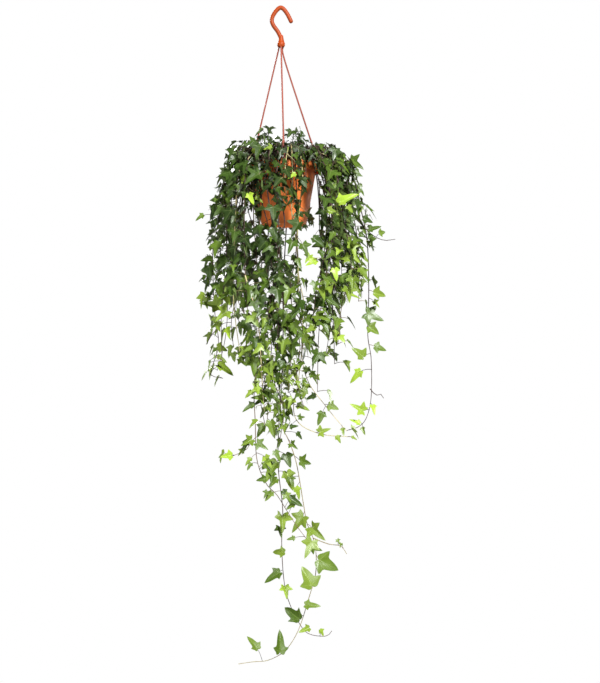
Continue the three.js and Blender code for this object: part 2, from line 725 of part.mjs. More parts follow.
function rooted(route, rank) {
  const angle = angleOf(route[0]);
  const rootRadius = rank % 2 === 0 ? 51 : 37;
  const first = new THREE.Vector3(...route[0]);
  const riser = new THREE.Vector3(...aroundPot(rootRadius + 3, angle, SOIL_Z + 16));
  const shoulder = riser.clone().lerp(first, 0.5);
  shoulder.z += 8;
  const root = aroundPot(rootRadius, angle, SOIL_Z - HOLE_DEPTH);
  return [root, riser.toArray(), shoulder.toArray(), ...route];
}

function crownRoute(order) {
  const angle = 360 * order / CROWN_COUNT + 20;
  const rootRadius = order % 2 === 0 ? 24 : 12;
  return [
    aroundPot(rootRadius, angle, SOIL_Z - HOLE_DEPTH),
    aroundPot(rootRadius + 2, angle, SOIL_Z + 8),
    aroundPot(rootRadius + 8, angle, SOIL_Z + 30),
    aroundPot(rootRadius + 18, angle, SOIL_Z + 46),
  ];
}

function growPlants() {
  const trails = [
    ...SHOWN_TRAILS,
    ...HIDDEN_TRAILS.map((spec, order) => ({
      name: `trail_hidden_${order + 1}`,
      route: hiddenRoute(spec, order),
      leaves: [],
    })),
  ];
  const ranked = [...trails].sort((a, b) => angleOf(a.route[0]) - angleOf(b.route[0]));
  const plants = trails.map((trail) => {
    const route = rooted(trail.route, ranked.indexOf(trail));
    const stems = [route, ...(trail.shoots ?? [])].map(makeStem);
    return { name: trail.name, shown: trail.leaves, stems, leaves: [], lift: 0.6, crown: false };
  });
  for (let order = 0; order < CROWN_COUNT; order++) {
    const stems = [makeStem(crownRoute(order))];
    plants.push({ name: `crown_${order + 1}`, shown: [], stems, leaves: [], lift: 1.4, crown: true });
  }
  plants.forEach((plant, order) => {
    plant.owner = 10 + 2 * order;
    for (const stem of plant.stems) {
      for (let k = 0; k < stem.steps; k++) {
        keepSpace(pointsAlong(stem.line[k], stem.line[k + 1], 2), plant.owner);
      }
    }
  });
  for (const name of Object.keys(STRAND_ANGLES)) {
    const [top, early, end] = strandRoute(name).map((point) => new THREE.Vector3(...point));
    keepSpace([...pointsAlong(top, early, 2), ...pointsAlong(early, end, 2)], 1);
    const foot = new THREE.Vector3(...aroundPot(SLOT_RADIUS, STRAND_ANGLES[name], RIM_Z));
    keepSpace(pointsAlong(end, foot, 2), 1);
  }
  plants.forEach((plant, order) => {
    plant.shown.forEach((spec, k) => placeShownLeaf(plant, spec, 1000 * order + 500 + k));
  });
  plants.forEach((plant, order) => {
    const stem = plant.stems[0];
    const spacing = plant.crown ? 11 : LEAF_SPACING;
    const start = plant.crown ? 34 : 58;
    const onMain = plant.leaves.filter((leaf) => leaf.stem === 0);
    const shownFrom = onMain.length > 5
      ? Math.min(...onMain.map((leaf) => leaf.distance))
      : stem.length;
    let side = order % 2 === 0 ? 1 : -1;
    let count = 0;
    for (let distance = start; distance < Math.min(stem.length, shownFrom); distance += spacing) {
      placeRuledLeaf(plant, distance, side, 1000 * order + count);
      side = -side;
      count++;
    }
    if (shownFrom === stem.length) placeRuledLeaf(plant, stem.length - 1, side, 1000 * order + count);
  });
  return plants;
}

function plantSolid(plant) {
  const stems = plant.stems.map((stem) => toSolid(tube(stem.curve, STEM_RADIUS, 3, stem.steps)));
  return joined([...stems, ...plant.leaves.map(leafSolid)]);
}

// Assembly

const group = new THREE.Group();

function addNode(name, solid, colour, roughness) {
  const material = new THREE.MeshStandardMaterial({ color: colour, roughness, metalness: 0 });
  const mesh = new THREE.Mesh(toGeometry(solid), material);
  mesh.name = name;
  group.add(mesh);
}

const plants = growPlants();
addNode("hook", buildHook(), COLOURS.plastic, 0.45);
for (const name of Object.keys(STRAND_ANGLES)) {
  addNode(name, buildStrand(name), COLOURS.plastic, 0.45);
}
addNode("pot", buildPot(), COLOURS.plastic, 0.5);
addNode("soil", buildSoil(plants.map((plant) => plant.stems[0])), COLOURS.soil, 1);
for (const plant of plants) {
  addNode(plant.name, plantSolid(plant), COLOURS.foliage, 0.45);
}

export default group;
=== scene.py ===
import functools
import math
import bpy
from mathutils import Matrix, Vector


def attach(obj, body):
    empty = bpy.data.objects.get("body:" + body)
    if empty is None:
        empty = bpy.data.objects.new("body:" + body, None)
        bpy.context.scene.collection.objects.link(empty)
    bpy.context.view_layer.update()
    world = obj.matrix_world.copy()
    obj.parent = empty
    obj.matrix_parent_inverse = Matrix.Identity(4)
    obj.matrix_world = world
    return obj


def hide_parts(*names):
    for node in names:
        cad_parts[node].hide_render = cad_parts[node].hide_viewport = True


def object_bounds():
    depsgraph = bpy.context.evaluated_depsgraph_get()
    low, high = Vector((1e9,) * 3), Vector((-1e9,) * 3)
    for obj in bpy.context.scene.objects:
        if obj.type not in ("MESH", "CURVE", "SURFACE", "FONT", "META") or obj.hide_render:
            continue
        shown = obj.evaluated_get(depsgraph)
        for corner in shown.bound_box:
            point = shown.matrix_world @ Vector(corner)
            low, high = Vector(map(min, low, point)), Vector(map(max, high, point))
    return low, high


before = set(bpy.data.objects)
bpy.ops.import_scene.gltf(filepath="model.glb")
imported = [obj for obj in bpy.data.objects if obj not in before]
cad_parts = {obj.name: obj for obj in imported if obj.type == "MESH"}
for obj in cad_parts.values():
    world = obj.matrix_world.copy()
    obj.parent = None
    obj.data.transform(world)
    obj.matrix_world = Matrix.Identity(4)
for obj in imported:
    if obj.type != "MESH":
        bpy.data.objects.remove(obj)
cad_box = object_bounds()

from types import SimpleNamespace

import bmesh
import bpy
import numpy as np
from mathutils import Matrix, Vector, noise

# The plant is laid out in millimetres from the hook's saddle: +Z up, +X to the viewer's
# right, +Y away from the viewer. Meshes are made in metres.
MM = 0.001

# Hanger
ROD_RADIUS = 4.4
SADDLE_RISE = 4.4
HOOK_ROUTE = [
    (0.6, 0, -62), (-1.2, 0, -55.7), (-6.4, 0, -45.3), (-14.6, 0, -33.9), (-18.6, 0, -24.5),
    (-17.6, 0, -16), (-12.4, 0, -6.2), (-5.8, 0, 1.6), (0.4, 0, SADDLE_RISE), (6.9, 0, 0.2),
    (14.2, 0, -10), (21.2, 0, -24),
]
HEAD_X = 0.6
HEAD_BOTTOM = -77.6
STRAND_RADIUS = 1.7
STRAND_SPREAD = 4
STRAND_ANGLES = {"strand_front": -90, "strand_right": 30, "strand_left": 150}
STRAND_BOW = {"strand_front": 0, "strand_right": 5, "strand_left": 0}
CLIP_TOP = -268
CLIP_WIDTH = 7
CLIP_THICKNESS = 2
CLIP_TOP_RADIUS = 67.2
SLOT_RADIUS = 70.9
GAP = 0.3

# Pot and soil
POT_X = 6.5
POT_SIDES = 96
RIM_Z = -322
RIM_RADIUS = 75
LIP_HEIGHT = 17
LIP_WALL = 1.6
FLANGE_THICKNESS = 2
WALL = 1.8
NECK_RADIUS = 69
BASE_RADIUS = 46.5
POT_HEIGHT = 127.5
BASE_Z = RIM_Z - POT_HEIGHT
DRAIN_COUNT = 6
SOIL_Z = RIM_Z - 15
HOLE_DEPTH = 14
CRUMB_COUNT = 420

# Stems and leaves
STEM_STEP = 52
LEAF_SPACING = 77
FIVE_LOBES_FROM = 30
CLEAR_CELL = 3
THROAT = (0.026, 0)
BASAL_LOBE = (0.3, -0.22)
SIDE_LOBE = (0.57, 0.24)
NOTCH = (0.23, 0.38)
TIP = (0, 1)
LEAF_FOLD = 0.16
LEAF_DROOP = 0.14
CROWN_COUNT = 8
STEM_BASE_RADIUS = 1.5
STEM_TIP_RADIUS = 0.65
STALK_RADIUS = 0.55
BLADE_HALF_THICKNESS = 0.25

# Trails that the photo shows: points along each stem from the rim down, points along its
# side shoots, and its leaves that stand alone, as [x, z, length, heading] with x and z of
# the leaf's throat. Heading 0 points down and 90 to the viewer's right.
SHOWN_TRAILS = [
  {
    "name": "trail_left_outer",
    "route": [[-84, -10, -300], [-95, -20, -348], [-107, -27, -392], [-126, -30, -442],
      [-139, -30, -506], [-136, -25, -625], [-128, -25, -697], [-144, -25, -753],
      [-138, -25, -763], [-119, -20, -767]],
    "shoots": [[[-131, -25, -666], [-142, -28, -678], [-153, -30, -697]]],
    "leaves": [[-129, -618, 37, -100], [-129, -636, 23, -120], [-129, -702, 25, 85],
      [-127, -722, 21, 65], [-127, -741, 35, 50], [-141, -523, 23, -80]],
  },
  {
    "name": "trail_left_second",
    "route": [[-74, -43, -300], [-92, -56, -348], [-106, -68, -414], [-109, -72, -525],
      [-119, -66, -626], [-118, -64, -732]],
    "leaves": [],
  },
  {
    "name": "trail_left_third",
    "route": [[-68, -62, -300], [-83, -88, -356], [-88, -100, -423], [-92, -101, -528],
      [-92, -98, -617], [-78, -90, -731]],
    "leaves": [[-79, -726, 19, 40]],
  },
  {
    "name": "trail_left_fourth",
    "route": [[-58, -76, -300], [-68, -105, -356], [-70, -118, -430], [-69, -120, -529],
      [-65, -116, -618], [-50, -108, -697], [-53, -106, -738]],
    "leaves": [[-53, -729, 32, 5]],
  },
  {
    "name": "trail_left_tendril",
    "route": [[-44, -72, -300], [-52, -95, -359], [-52, -100, -448], [-45, -92, -561],
      [-47, -88, -667], [-33, -85, -756], [-25, -80, -832], [-33, -80, -870],
      [-55, -79, -889], [-69, -78, -909], [-99, -75, -923]],
    "leaves": [[-75, -909, 15, -40], [-98, -920, 22, -80], [-28, -826, 21, -30],
      [-32, -860, 28, -50], [-18, -850, 33, 10], [-56, -882, 27, -35], [-39, -881, 20, -30]],
  },
  {
    "name": "trail_long_front",
    "route": [[-29, -80, -300], [-37, -94, -364], [-41, -92, -447], [-27, -82, -546],
      [-14, -72, -626], [-7, -66, -727], [1, -60, -828], [4, -60, -864], [18, -58, -894],
      [33, -56, -940], [48, -55, -1027], [54, -54, -1060], [68, -52, -1095], [73, -52, -1129],
      [71, -52, -1169], [60, -51, -1207], [40, -50, -1271], [21, -47, -1308], [1, -46, -1329],
      [-28, -44, -1343], [-56, -42, -1346], [-86, -40, -1351]],
    "shoots": [[[66, -52, -1091], [98, -54, -1103], [123, -54, -1107], [135, -55, -1123]]],
    "leaves": [[46, -1047, 40, -45], [54, -1049, 32, 0], [66, -1069, 36, 55], [79, -1135, 45, 60],
      [63, -1180, 42, -150], [52, -1224, 29, 90], [38, -1253, 46, -130], [-1, -1320, 41, 175],
      [-47, -1316, 31, -155], [-45, -1319, 16, -45], [41, -934, 28, 90], [34, -876, 17, 50],
      [44, -880, 26, 65], [23, -898, 18, 50], [31, -987, 25, 20]],
  },
  {
    "name": "trail_centre_left",
    "route": [[-19, -88, -300], [-26, -115, -369], [-16, -125, -451], [-4, -121, -524],
      [-18, -115, -603], [-28, -111, -677], [-50, -105, -771], [-49, -101, -855],
      [-46, -97, -926], [-28, -95, -974], [-6, -92, -998], [16, -88, -1034], [35, -86, -1063],
      [61, -86, -1097]],
    "leaves": [[-52, -818, 25, -50], [-31, -803, 27, -85], [-29, -920, 26, 40],
      [-30, -964, 18, -75], [-15, -953, 22, -5], [-17, -991, 21, -35], [6, -989, 22, 50],
      [-58, -924, 17, -40], [63, -1091, 36, -25]],
  },
  {
    "name": "trail_centre_front",
    "route": [[-3, -90, -300], [-6, -125, -376], [-2, -130, -451], [0, -123, -529],
      [7, -112, -618], [22, -104, -706], [16, -99, -794]],
    "leaves": [[27, -749, 22, 15], [25, -693, 29, 0], [25, -805, 21, -15]],
  },
  {
    "name": "trail_centre_right",
    "route": [[23, -90, -300], [25, -112, -369], [24, -115, -439], [35, -106, -508],
      [37, -95, -587], [46, -90, -667], [37, -84, -767], [27, -82, -827], [42, -80, -859],
      [86, -78, -878], [142, -76, -883]],
    "leaves": [[36, -820, 25, 60], [21, -862, 16, 90], [80, -873, 23, 110], [113, -882, 16, 30],
      [144, -883, 12, 70], [38, -843, 15, 105], [20, -338, 18, 5], [38, -458, 33, -38]],
  },
  {
    "name": "trail_right_diagonal",
    "route": [[37, -80, -300], [45, -102, -364], [36, -100, -458], [36, -86, -547],
      [53, -72, -646], [44, -68, -717], [57, -64, -773], [93, -61, -823], [114, -60, -849],
      [135, -60, -873]],
    "leaves": [[85, -835, 26, -20], [99, -819, 22, 65], [126, -866, 15, 10], [71, -801, 22, -80]],
  },
  {
    "name": "trail_right_bare",
    "route": [[57, -72, -300], [72, -80, -352], [78, -82, -410], [80, -80, -476],
      [88, -75, -526], [102, -70, -596], [108, -68, -667], [110, -62, -737]],
    "leaves": [[87, -430, 29, 10], [88, -495, 26, -85]],
  },
  {
    "name": "trail_right_fourth",
    "route": [[73, -72, -300], [94, -100, -359], [103, -111, -439], [101, -110, -508],
      [85, -102, -597], [77, -95, -686], [75, -90, -792]],
    "leaves": [[93, -609, 29, 60], [78, -613, 27, -30]],
  },
  {
    "name": "trail_right_third",
    "route": [[85, -62, -300], [112, -84, -352], [123, -95, -418], [135, -95, -487],
      [142, -94, -552], [124, -89, -617], [116, -85, -697]],
    "leaves": [[136, -526, 22, -100], [139, -568, 23, 75], [120, -681, 17, 35]],
  },
  {
    "name": "trail_right_shoot",
    "route": [[99, -46, -300], [130, -60, -348], [141, -70, -409], [152, -71, -459],
      [160, -66, -525], [159, -60, -610]],
    "shoots": [[[149, -71, -440], [168, -72, -459], [187, -74, -477], [209, -76, -487],
      [232, -76, -485]]],
    "leaves": [[168, -445, 21, 70], [181, -467, 22, 100], [198, -475, 17, 105],
      [196, -482, 18, 0], [180, -476, 12, -25]],
  },
  {
    "name": "trail_far_right",
    "route": [[112, -16, -300], [146, -26, -345], [160, -31, -399], [177, -38, -482],
      [181, -36, -584], [179, -35, -676], [186, -35, -727], [186, -35, -804],
      [177, -34, -846], [162, -33, -865], [140, -32, -873]],
    "shoots": [[[184, -35, -788], [195, -40, -801], [203, -43, -797], [211, -45, -807]]],
    "leaves": [[178, -634, 37, 65], [172, -639, 22, -35], [181, -661, 26, 50], [188, -620, 22, -80],
      [191, -610, 16, 35], [191, -593, 27, 80], [194, -702, 25, 85], [168, -722, 29, -135],
      [163, -752, 32, -55], [168, -832, 29, -120], [188, -822, 21, 5], [161, -858, 21, -110],
      [168, -868, 15, 20]],
  },
  {
    "name": "trail_long_back",
    "route": [[21, 98, -300], [16, 112, -370], [9, 100, -464], [4, 70, -579], [4, 45, -686],
      [0, 25, -797], [-5, 5, -884], [-5, 0, -957], [4, -5, -1039], [2, -6, -1112],
      [7, -8, -1189], [19, -10, -1236], [42, -10, -1281], [60, -10, -1298], [94, -10, -1302],
      [106, -10, -1291]],
    "leaves": [[3, -1053, 37, -5], [7, -1126, 29, -90], [-3, -1168, 35, -65], [9, -1199, 25, 5],
      [58, -1282, 22, -55], [81, -1286, 15, 35], [-9, -943, 44, -16], [13, -963, 38, 14],
      [11, -925, 29, 20], [-1, -894, 19, -15]],
  },
]

# Trails on the sides and the back, as [angle round the pot, reach from its axis, drop].
HIDDEN_TRAILS = [
  [-2, 122, 270], [10, 138, 260], [22, 114, 320], [37, 136, 360], [42, 116, 300], [49, 134, 400],
  [64, 106, 120], [76, 130, 120], [90, 128, 130], [101, 110, 330], [112, 130, 120],
  [129, 120, 400], [135, 136, 300], [145, 108, 400], [157, 128, 260], [167, 106, 380],
  [177, 120, 430],
]

# More stems between them, which fill the mass: (angle, reach, drop), and short sprays
# over the soil: (angle, root radius, lean, height).
INFILL_TRAILS = [
    (-172, 106, 300), (-157, 102, 340), (-142, 112, 280), (-127, 118, 90), (-121, 104, 110),
    (-114, 98, 120), (-111, 106, 540), (-108, 116, 70), (-99, 100, 60), (-95, 108, 590),
    (-92, 114, 90), (-86, 98, 60), (-80, 106, 40), (-75, 104, 500), (-70, 114, 60),
    (-63, 112, 70), (-36, 130, 290), (-42, 112, 330), (-30, 118, 250), (-22, 128, 220),
    (-12, 114, 280), (5, 124, 240), (31, 118, 280), (72, 120, 110), (83, 106, 100),
    (106, 118, 120), (138, 120, 240), (151, 118, 300), (-150, 96, 120), (-138, 94, 80),
    (-130, 92, 90), (-118, 92, 60), (-112, 112, 60), (-104, 92, 60), (-101, 122, 80),
    (-96, 90, 50), (-88, 110, 50), (-66, 92, 40), (-24, 106, 110), (-8, 100, 110),
    (-18, 96, 60), (-2, 96, 60), (10, 100, 70), (-165, 98, 80), (176, 98, 80),
]
INFILL_SPRAYS = [
    (0, 52, 26, 44), (24, 58, 30, 36), (50, 54, 24, 46), (78, 58, 26, 40), (104, 52, 24, 46),
    (130, 58, 30, 38), (156, 52, 26, 46), (184, 58, 30, 40), (208, 52, 24, 48), (234, 58, 30, 40),
    (258, 52, 22, 44), (286, 58, 26, 36), (312, 52, 24, 46), (338, 58, 30, 40),
    (164, 58, 46, 52), (184, 58, 50, 46), (203, 56, 44, 56), (-6, 58, 46, 56), (14, 58, 50, 50),
    (222, 38, 8, 78), (262, 26, 4, 62), (300, 30, 8, 76),
]
TALL_SPRAY = 60

# Tone of the stems that are paler than the others, from 0, dark, to 1, pale.
STEM_TONES = {
    "trail_long_front": 0.5, "trail_right_diagonal": 0.8, "trail_centre_right": 0.7,
    "trail_left_third": 0.7, "trail_left_tendril": 0.45,
}

# Shoots that cross the front, as (the trail that they leave, the height where they leave
# it, tone, points along the shoot).
CROSSING_SHOOTS = [
    ("trail_centre_left", -598, 0.05, [(8, -128, -615), (30, -134, -634), (44, -132, -660),
                                       (43, -126, -705)]),
    ("trail_left_fourth", -560, 0.8, [(-60, -128, -590), (-44, -134, -640), (-38, -130, -705),
                                      (-34, -124, -780), (-30, -118, -830)]),
    ("trail_right_fourth", -470, 0.1, [(96, -118, -500), (84, -122, -540), (72, -120, -590),
                                       (66, -114, -650)]),
]

# Pale young vines that cross the front: the tone of the stem, and its route from the soil.
PALE_VINES = [
    (0.95, [(-18, -30, -345), (-16, -50, -310), (-6, -72, -300), (4, -86, -303), (16, -94, -318),
            (27, -98, -328), (36, -99, -341), (50, -96, -347)]),
    (0.9, [(60, -28, -345), (66, -42, -312), (74, -56, -306), (88, -66, -312), (104, -72, -324),
           (118, -74, -342)]),
    (0.85, [(-30, -40, -345), (-38, -58, -312), (-50, -78, -308), (-66, -88, -330),
            (-72, -92, -362), (-62, -94, -384), (-50, -92, -392)]),
    (0.8, [(18, -50, -345), (16, -74, -306), (12, -100, -330), (10, -104, -366), (14, -92, -404),
           (20, -80, -424), (30, -74, -446)]),
]

# The outline of the dense mass as the camera sees it, at the hook's distance: its top
# and its lower edge as (x, z) from left to right, its sides as (z, x) from below.
MASS_TOP = [
    (-130, -345), (-122, -301), (-103, -280), (-85, -270), (-39, -264), (-6, -260), (34, -268),
    (75, -276), (90, -268), (107, -282), (121, -293), (152, -314), (169, -349), (177, -407),
]
MASS_BOTTOM = [
    (-160, -740), (-130, -750), (-104, -760), (-88, -880), (-53, -900), (40, -875), (61, -813),
    (86, -765), (113, -713), (134, -605), (169, -600), (190, -526), (217, -449),
]
MASS_LEFT = [
    (-752, -149), (-667, -143), (-624, -155), (-607, -178), (-522, -168), (-499, -155),
    (-461, -151), (-403, -150), (-372, -134), (-345, -130), (-322, -124), (-301, -122),
    (-280, -103),
]
MASS_RIGHT = [
    (-600, 186), (-503, 194), (-459, 186), (-445, 212), (-407, 178), (-349, 169), (-314, 152),
    (-293, 121), (-282, 107),
]

# Windows in that view, as left, right, bottom and top: white gaps that no leaf covers,
# and patches of bare pot that no leaf hangs before.
OPEN_GAPS = [
    (-53, -39, -553, -449), (3, 24, -522, -457), (40, 78, -559, -457), (82, 93, -366, -345),
    (-122, -110, -513, -496), (-89, -79, -505, -486), (115, 138, -554, -538),
    (-103, -77, -414, -393), (-76, -52, -441, -418), (68, 80, -460, -345),
]
POT_FRONT = -45
BARE_POT = [
    (-1, 21, -455, -420), (44, 65, -418, -391), (59, 69, -382, -366), (23, 36, -374, -357),
    (38, 55, -451, -430), (19, 28, -424, -401), (15, 26, -328, -318), (53, 67, -332, -318),
    (53, 71, -349, -334), (-36, -21, -410, -382), (-34, -20, -446, -431),
]
WINDOW_SHARE = 0.06

# Single pale and bright leaves that the photo shows in the mass, as
# (x, z, length, heading, tone).
ACCENT_LEAVES = [
    (-58, -293, 20, 80, 0.9), (-20, -286, 20, -80, 0.7), (-24, -298, 30, -60, 0.78),
    (19, -288, 26, 5, 0.75), (30, -342, 18, -60, 0.9), (-78, -347, 18, -10, 0.95),
    (-70, -366, 20, 15, 0.9), (-66, -384, 24, 25, 0.95), (-52, -390, 18, 60, 0.85),
    (124, -402, 42, 122, 0.9), (98, -418, 24, 80, 0.7), (147, -316, 30, 60, 0.4),
    (8, -688, 30, -10, 0.65), (-14, -734, 24, -20, 0.6), (30, -752, 24, 20, 0.75),
    (188, -826, 26, 40, 0.95), (160, -856, 20, -80, 0.95), (-146, -494, 16, 60, 0.75),
    (-127, -741, 26, 20, 0.85), (-127, -722, 20, 60, 0.7), (74, -523, 22, -70, 0.95),
    (112, -540, 24, 10, 0.9), (60, -521, 18, 60, 0.85), (140, -580, 30, 5, 0.7),
    (150, -560, 26, 0, 0.6), (70, -660, 24, -60, 0.75),
    (-12, -920, 22, 30, 0.5), (-24, -938, 20, -60, 0.55), (-31, -946, 27, 30, 0.55),
    (-62, -896, 27, -60, 0.6), (-48, -903, 24, 60, 0.5), (-24, -988, 19, -30, 0.6),
    (36, -930, 20, -50, 0.5), (36, -990, 30, 20, 0.85), (20, -1018, 28, 60, 0.3),
    (28, -1100, 15, -80, 0.5), (-2, -1078, 22, 10, 0.4), (62, -1090, 30, 50, 0.7),
    (20, -975, 20, 20, 0.45), (-8, -978, 22, -50, 0.55), (-62, -945, 16, -30, 0.5),
    (-28, -1004, 16, -30, 0.5), (10, -1010, 20, 40, 0.6), (27, -1030, 18, -60, 0.55),
    (64, -1120, 24, 80, 0.5),
    (118, -1104, 10, 30, 0.6), (126, -1112, 9, -20, 0.6), (60, -1220, 18, -70, 0.6),
    (24, -484, 27, -20, 0.3), (46, -490, 26, 25, 0.35), (35, -520, 20, 20, 0.42),
    (60, -512, 18, -30, 0.8), (68, -476, 32, 55, 0.2), (-162, -428, 19, -65, 0.62),
    (-156, -438, 18, 15, 0.5),
]

# Parts of the plant with fewer leaves, as left, right, bottom, top and the share kept.
THIN_ZONES = [
    (-200, -64, -900, -600, 0.2), (110, 260, -620, -400, 0.65), (60, 260, -800, -600, 0.6),
]

CAMERA_PLACE = (40, -2300, -691)
CAMERA_LENS = 58.2


# Seeded random numbers from 0 to 1

WORD = 0xFFFFFFFF
CRUMB_SEED = 77
ACCENT_SEED = 300
SHOWN_SEED = 500
INFILL_SEED = 700
HIDDEN_SEED = 900
PLANT_SEEDS = 1000
LOOK_SEED = 4000
EXTRA_SEED = 60000


def random_stream(seed):
    state = seed & WORD

    def following():
        nonlocal state
        state = (state + 0x6D2B79F5) & WORD
        mixed = ((state ^ (state >> 15)) * (state | 1)) & WORD
        mixed ^= (mixed + (((mixed ^ (mixed >> 7)) * (mixed | 61)) & WORD)) & WORD
        return (mixed ^ (mixed >> 14)) / (WORD + 1)

    return following


# Space kept by stems and leaves: a grid of cells, each holding who came first. A stem's
# cells hold its plant's number, and the cells of its leaves the number after that.

SPACE_LOW = np.array([-240.0, -240.0, -1400.0])
OWN_CELL = np.array([(0, 0, 0)])
NEIGHBOURS = np.array([(i, j, k) for i in (-1, 0, 1) for j in (-1, 0, 1) for k in (-1, 0, 1)])
STRAND_OWNER = 1
FIRST_OWNER = 10
RIM_CLEARANCE = 3
POT_CLEARANCE = 4
NEAR_STEM = 4  # so many of a stalk's first samples may touch the leaf's own stem
space = np.zeros((170, 160, 450), dtype=np.int16)


def cells_of(points):
    return np.floor((points - SPACE_LOW) / CLEAR_CELL).astype(int)


def keep_space(points, owner, around):
    cells = (cells_of(points)[:, None, :] + around).reshape(-1, 3)
    i, j, k = cells.T
    held = space[i, j, k]
    space[i, j, k] = np.where(held == 0, owner, held)


def wall_radius_at(z):
    share = (z - BASE_Z) / (POT_HEIGHT - FLANGE_THICKNESS)
    return BASE_RADIUS + (NECK_RADIUS - BASE_RADIUS) * share


def inside_pot(points):
    radius = np.hypot(points[:, 0] - POT_X, points[:, 1])
    z = points[:, 2]
    level = (z <= RIM_Z + RIM_CLEARANCE) & (z >= BASE_Z - POT_CLEARANCE)
    lip = (z > RIM_Z - LIP_HEIGHT - POT_CLEARANCE) & (radius < RIM_RADIUS + POT_CLEARANCE)
    in_lip = (z < SOIL_Z + POT_CLEARANCE) | (radius > NECK_RADIUS - WALL - POT_CLEARANCE)
    in_wall = radius < wall_radius_at(z) + POT_CLEARANCE
    return level & np.where(lip, in_lip, in_wall)


def is_free(points, own_stem):
    i, j, k = cells_of(points).T
    owner = space[i, j, k]
    near = np.arange(len(points)) < NEAR_STEM
    allowed = (owner == 0) | ((owner == own_stem) & near)
    return bool(np.all(allowed & ~inside_pot(points)))


def points_along(start, end, step):
    count = max(1, math.ceil(np.linalg.norm(end - start) / step))
    shares = np.arange(count + 1)[:, None] / count
    return start + (end - start) * shares


# Curves and stems

ROUTE_SAMPLE = 2


def unit(vector):
    return vector / np.linalg.norm(vector)


class SmoothCurve:
    """A smooth line through points, measured along its length."""

    DIVISIONS = 200

    def __init__(self, points):
        self.points = np.array(points, dtype=float)
        self.shares = np.linspace(0, 1, self.DIVISIONS + 1)
        spans = np.linalg.norm(np.diff(self.through(self.shares), axis=0), axis=1)
        self.lengths = np.concatenate([[0], np.cumsum(spans)])
        self.length = self.lengths[-1]

    def through(self, shares):
        points = self.points
        last = len(points) - 1
        padded = np.vstack([2 * points[0] - points[1], points, 2 * points[-1] - points[-2]])
        place = np.asarray(shares) * last
        piece = np.minimum(np.floor(place).astype(int), last - 1)
        weight = (place - piece)[:, None]
        before, start, end, after = (padded[piece + k] for k in range(4))
        leave = 0.5 * (end - before)
        arrive = 0.5 * (after - start)
        square = 3 * (end - start) - 2 * leave - arrive
        cube = 2 * (start - end) + leave + arrive
        return start + weight * (leave + weight * (square + weight * cube))

    def at(self, shares):
        """Points at these shares of the curve's length."""
        return self.through(np.interp(np.asarray(shares) * self.length, self.lengths, self.shares))


def make_stem(points):
    curve = SmoothCurve(points)
    steps = max(2, math.floor(curve.length / STEM_STEP + 0.5))
    line = curve.at(np.linspace(0, 1, steps + 1))
    spans = np.linalg.norm(np.diff(line, axis=0), axis=1)
    starts = np.concatenate([[0], np.cumsum(spans)])
    return SimpleNamespace(curve=curve, line=line, starts=starts, length=starts[-1])


def point_on_stem(stem, distance):
    return np.array([np.interp(distance, stem.starts, stem.line[:, axis]) for axis in range(3)])


def nearest_in_view(stem, x, z):
    distances = np.arange(0, stem.length, ROUTE_SAMPLE)
    points = point_on_stem(stem, distances)
    away = np.hypot(points[0] - x, points[2] - z)
    best = int(np.argmin(away))
    return away[best], distances[best]


# The camera's view: places in it are given at the hook's distance

def seen_from_camera(points):
    depth = (points[:, 1] - CAMERA_PLACE[1]) / -CAMERA_PLACE[1]
    x = CAMERA_PLACE[0] + (points[:, 0] - CAMERA_PLACE[0]) / depth
    z = CAMERA_PLACE[2] + (points[:, 2] - CAMERA_PLACE[2]) / depth
    return x, z


def placed_as_seen(x, y, z):
    """The place at depth y that the camera sees at x, z."""
    depth = 1 + y / -CAMERA_PLACE[1]
    return np.array([CAMERA_PLACE[0] + (x - CAMERA_PLACE[0]) * depth, y,
                     CAMERA_PLACE[2] + (z - CAMERA_PLACE[2]) * depth])


def covers_window(samples):
    x, z = seen_from_camera(samples)

    def held(windows):
        inside = [(x > left) & (x < right) & (z > bottom) & (z < top)
                  for left, right, bottom, top in windows]
        return np.any(inside, axis=0)

    covering = held(OPEN_GAPS) | (held(BARE_POT) & (samples[:, 1] < POT_FRONT))
    return covering.mean() > WINDOW_SHARE


# Leaf frames: the throat, and the directions of the blade

STALK_SAMPLE = 2
BLADE_SAMPLE = 2.6


def make_leaf(root, joint, normal_wish, axis_wish, length, stem, distance, shown=False, tone=None):
    normal = unit(normal_wish)
    axis = unit(axis_wish - normal * np.dot(axis_wish, normal))
    return SimpleNamespace(
        root=root, joint=joint, normal=normal, axis=axis, side=np.cross(axis, normal),
        length=length, lobes=5 if length > FIVE_LOBES_FROM else 3,
        stem=stem, distance=distance, shown=shown, tone=tone)


def on_leaf(leaf, x, y, lift):
    flat = np.outer(x, leaf.side) + np.outer(y, leaf.axis) + np.outer(lift, leaf.normal)
    return leaf.joint + leaf.length * flat


def plain_lift(x, y):
    return LEAF_FOLD * np.abs(x) - LEAF_DROOP * y * np.maximum(y, 0)


@functools.cache
def triangle_rows(rows):
    shares = []
    for row in range(1, rows + 1):
        for step in range(row + 1):
            shares.append((row / rows * (1 - step / row), row / rows * step / row))
    return np.array(shares)


def leaf_samples(leaf):
    """Points along the stalk and all over the blade."""
    half = [THROAT, BASAL_LOBE, SIDE_LOBE, NOTCH, TIP] if leaf.lobes == 5 else [
        THROAT, SIDE_LOBE, NOTCH, TIP]
    samples = [points_along(leaf.root, leaf.joint, STALK_SAMPLE)]
    for mirror in (1, -1):
        x, y = np.array(half).T
        corners = on_leaf(leaf, mirror * x, y, plain_lift(x, y))
        a = corners[0]
        for b, c in zip(corners[1:-1], corners[2:]):
            longest = max(np.linalg.norm(a - b), np.linalg.norm(b - c), np.linalg.norm(c - a))
            shares = triangle_rows(math.ceil(longest / BLADE_SAMPLE))
            samples.append(a + shares[:, :1] * (b - a) + shares[:, 1:] * (c - a))
    return np.vstack(samples)


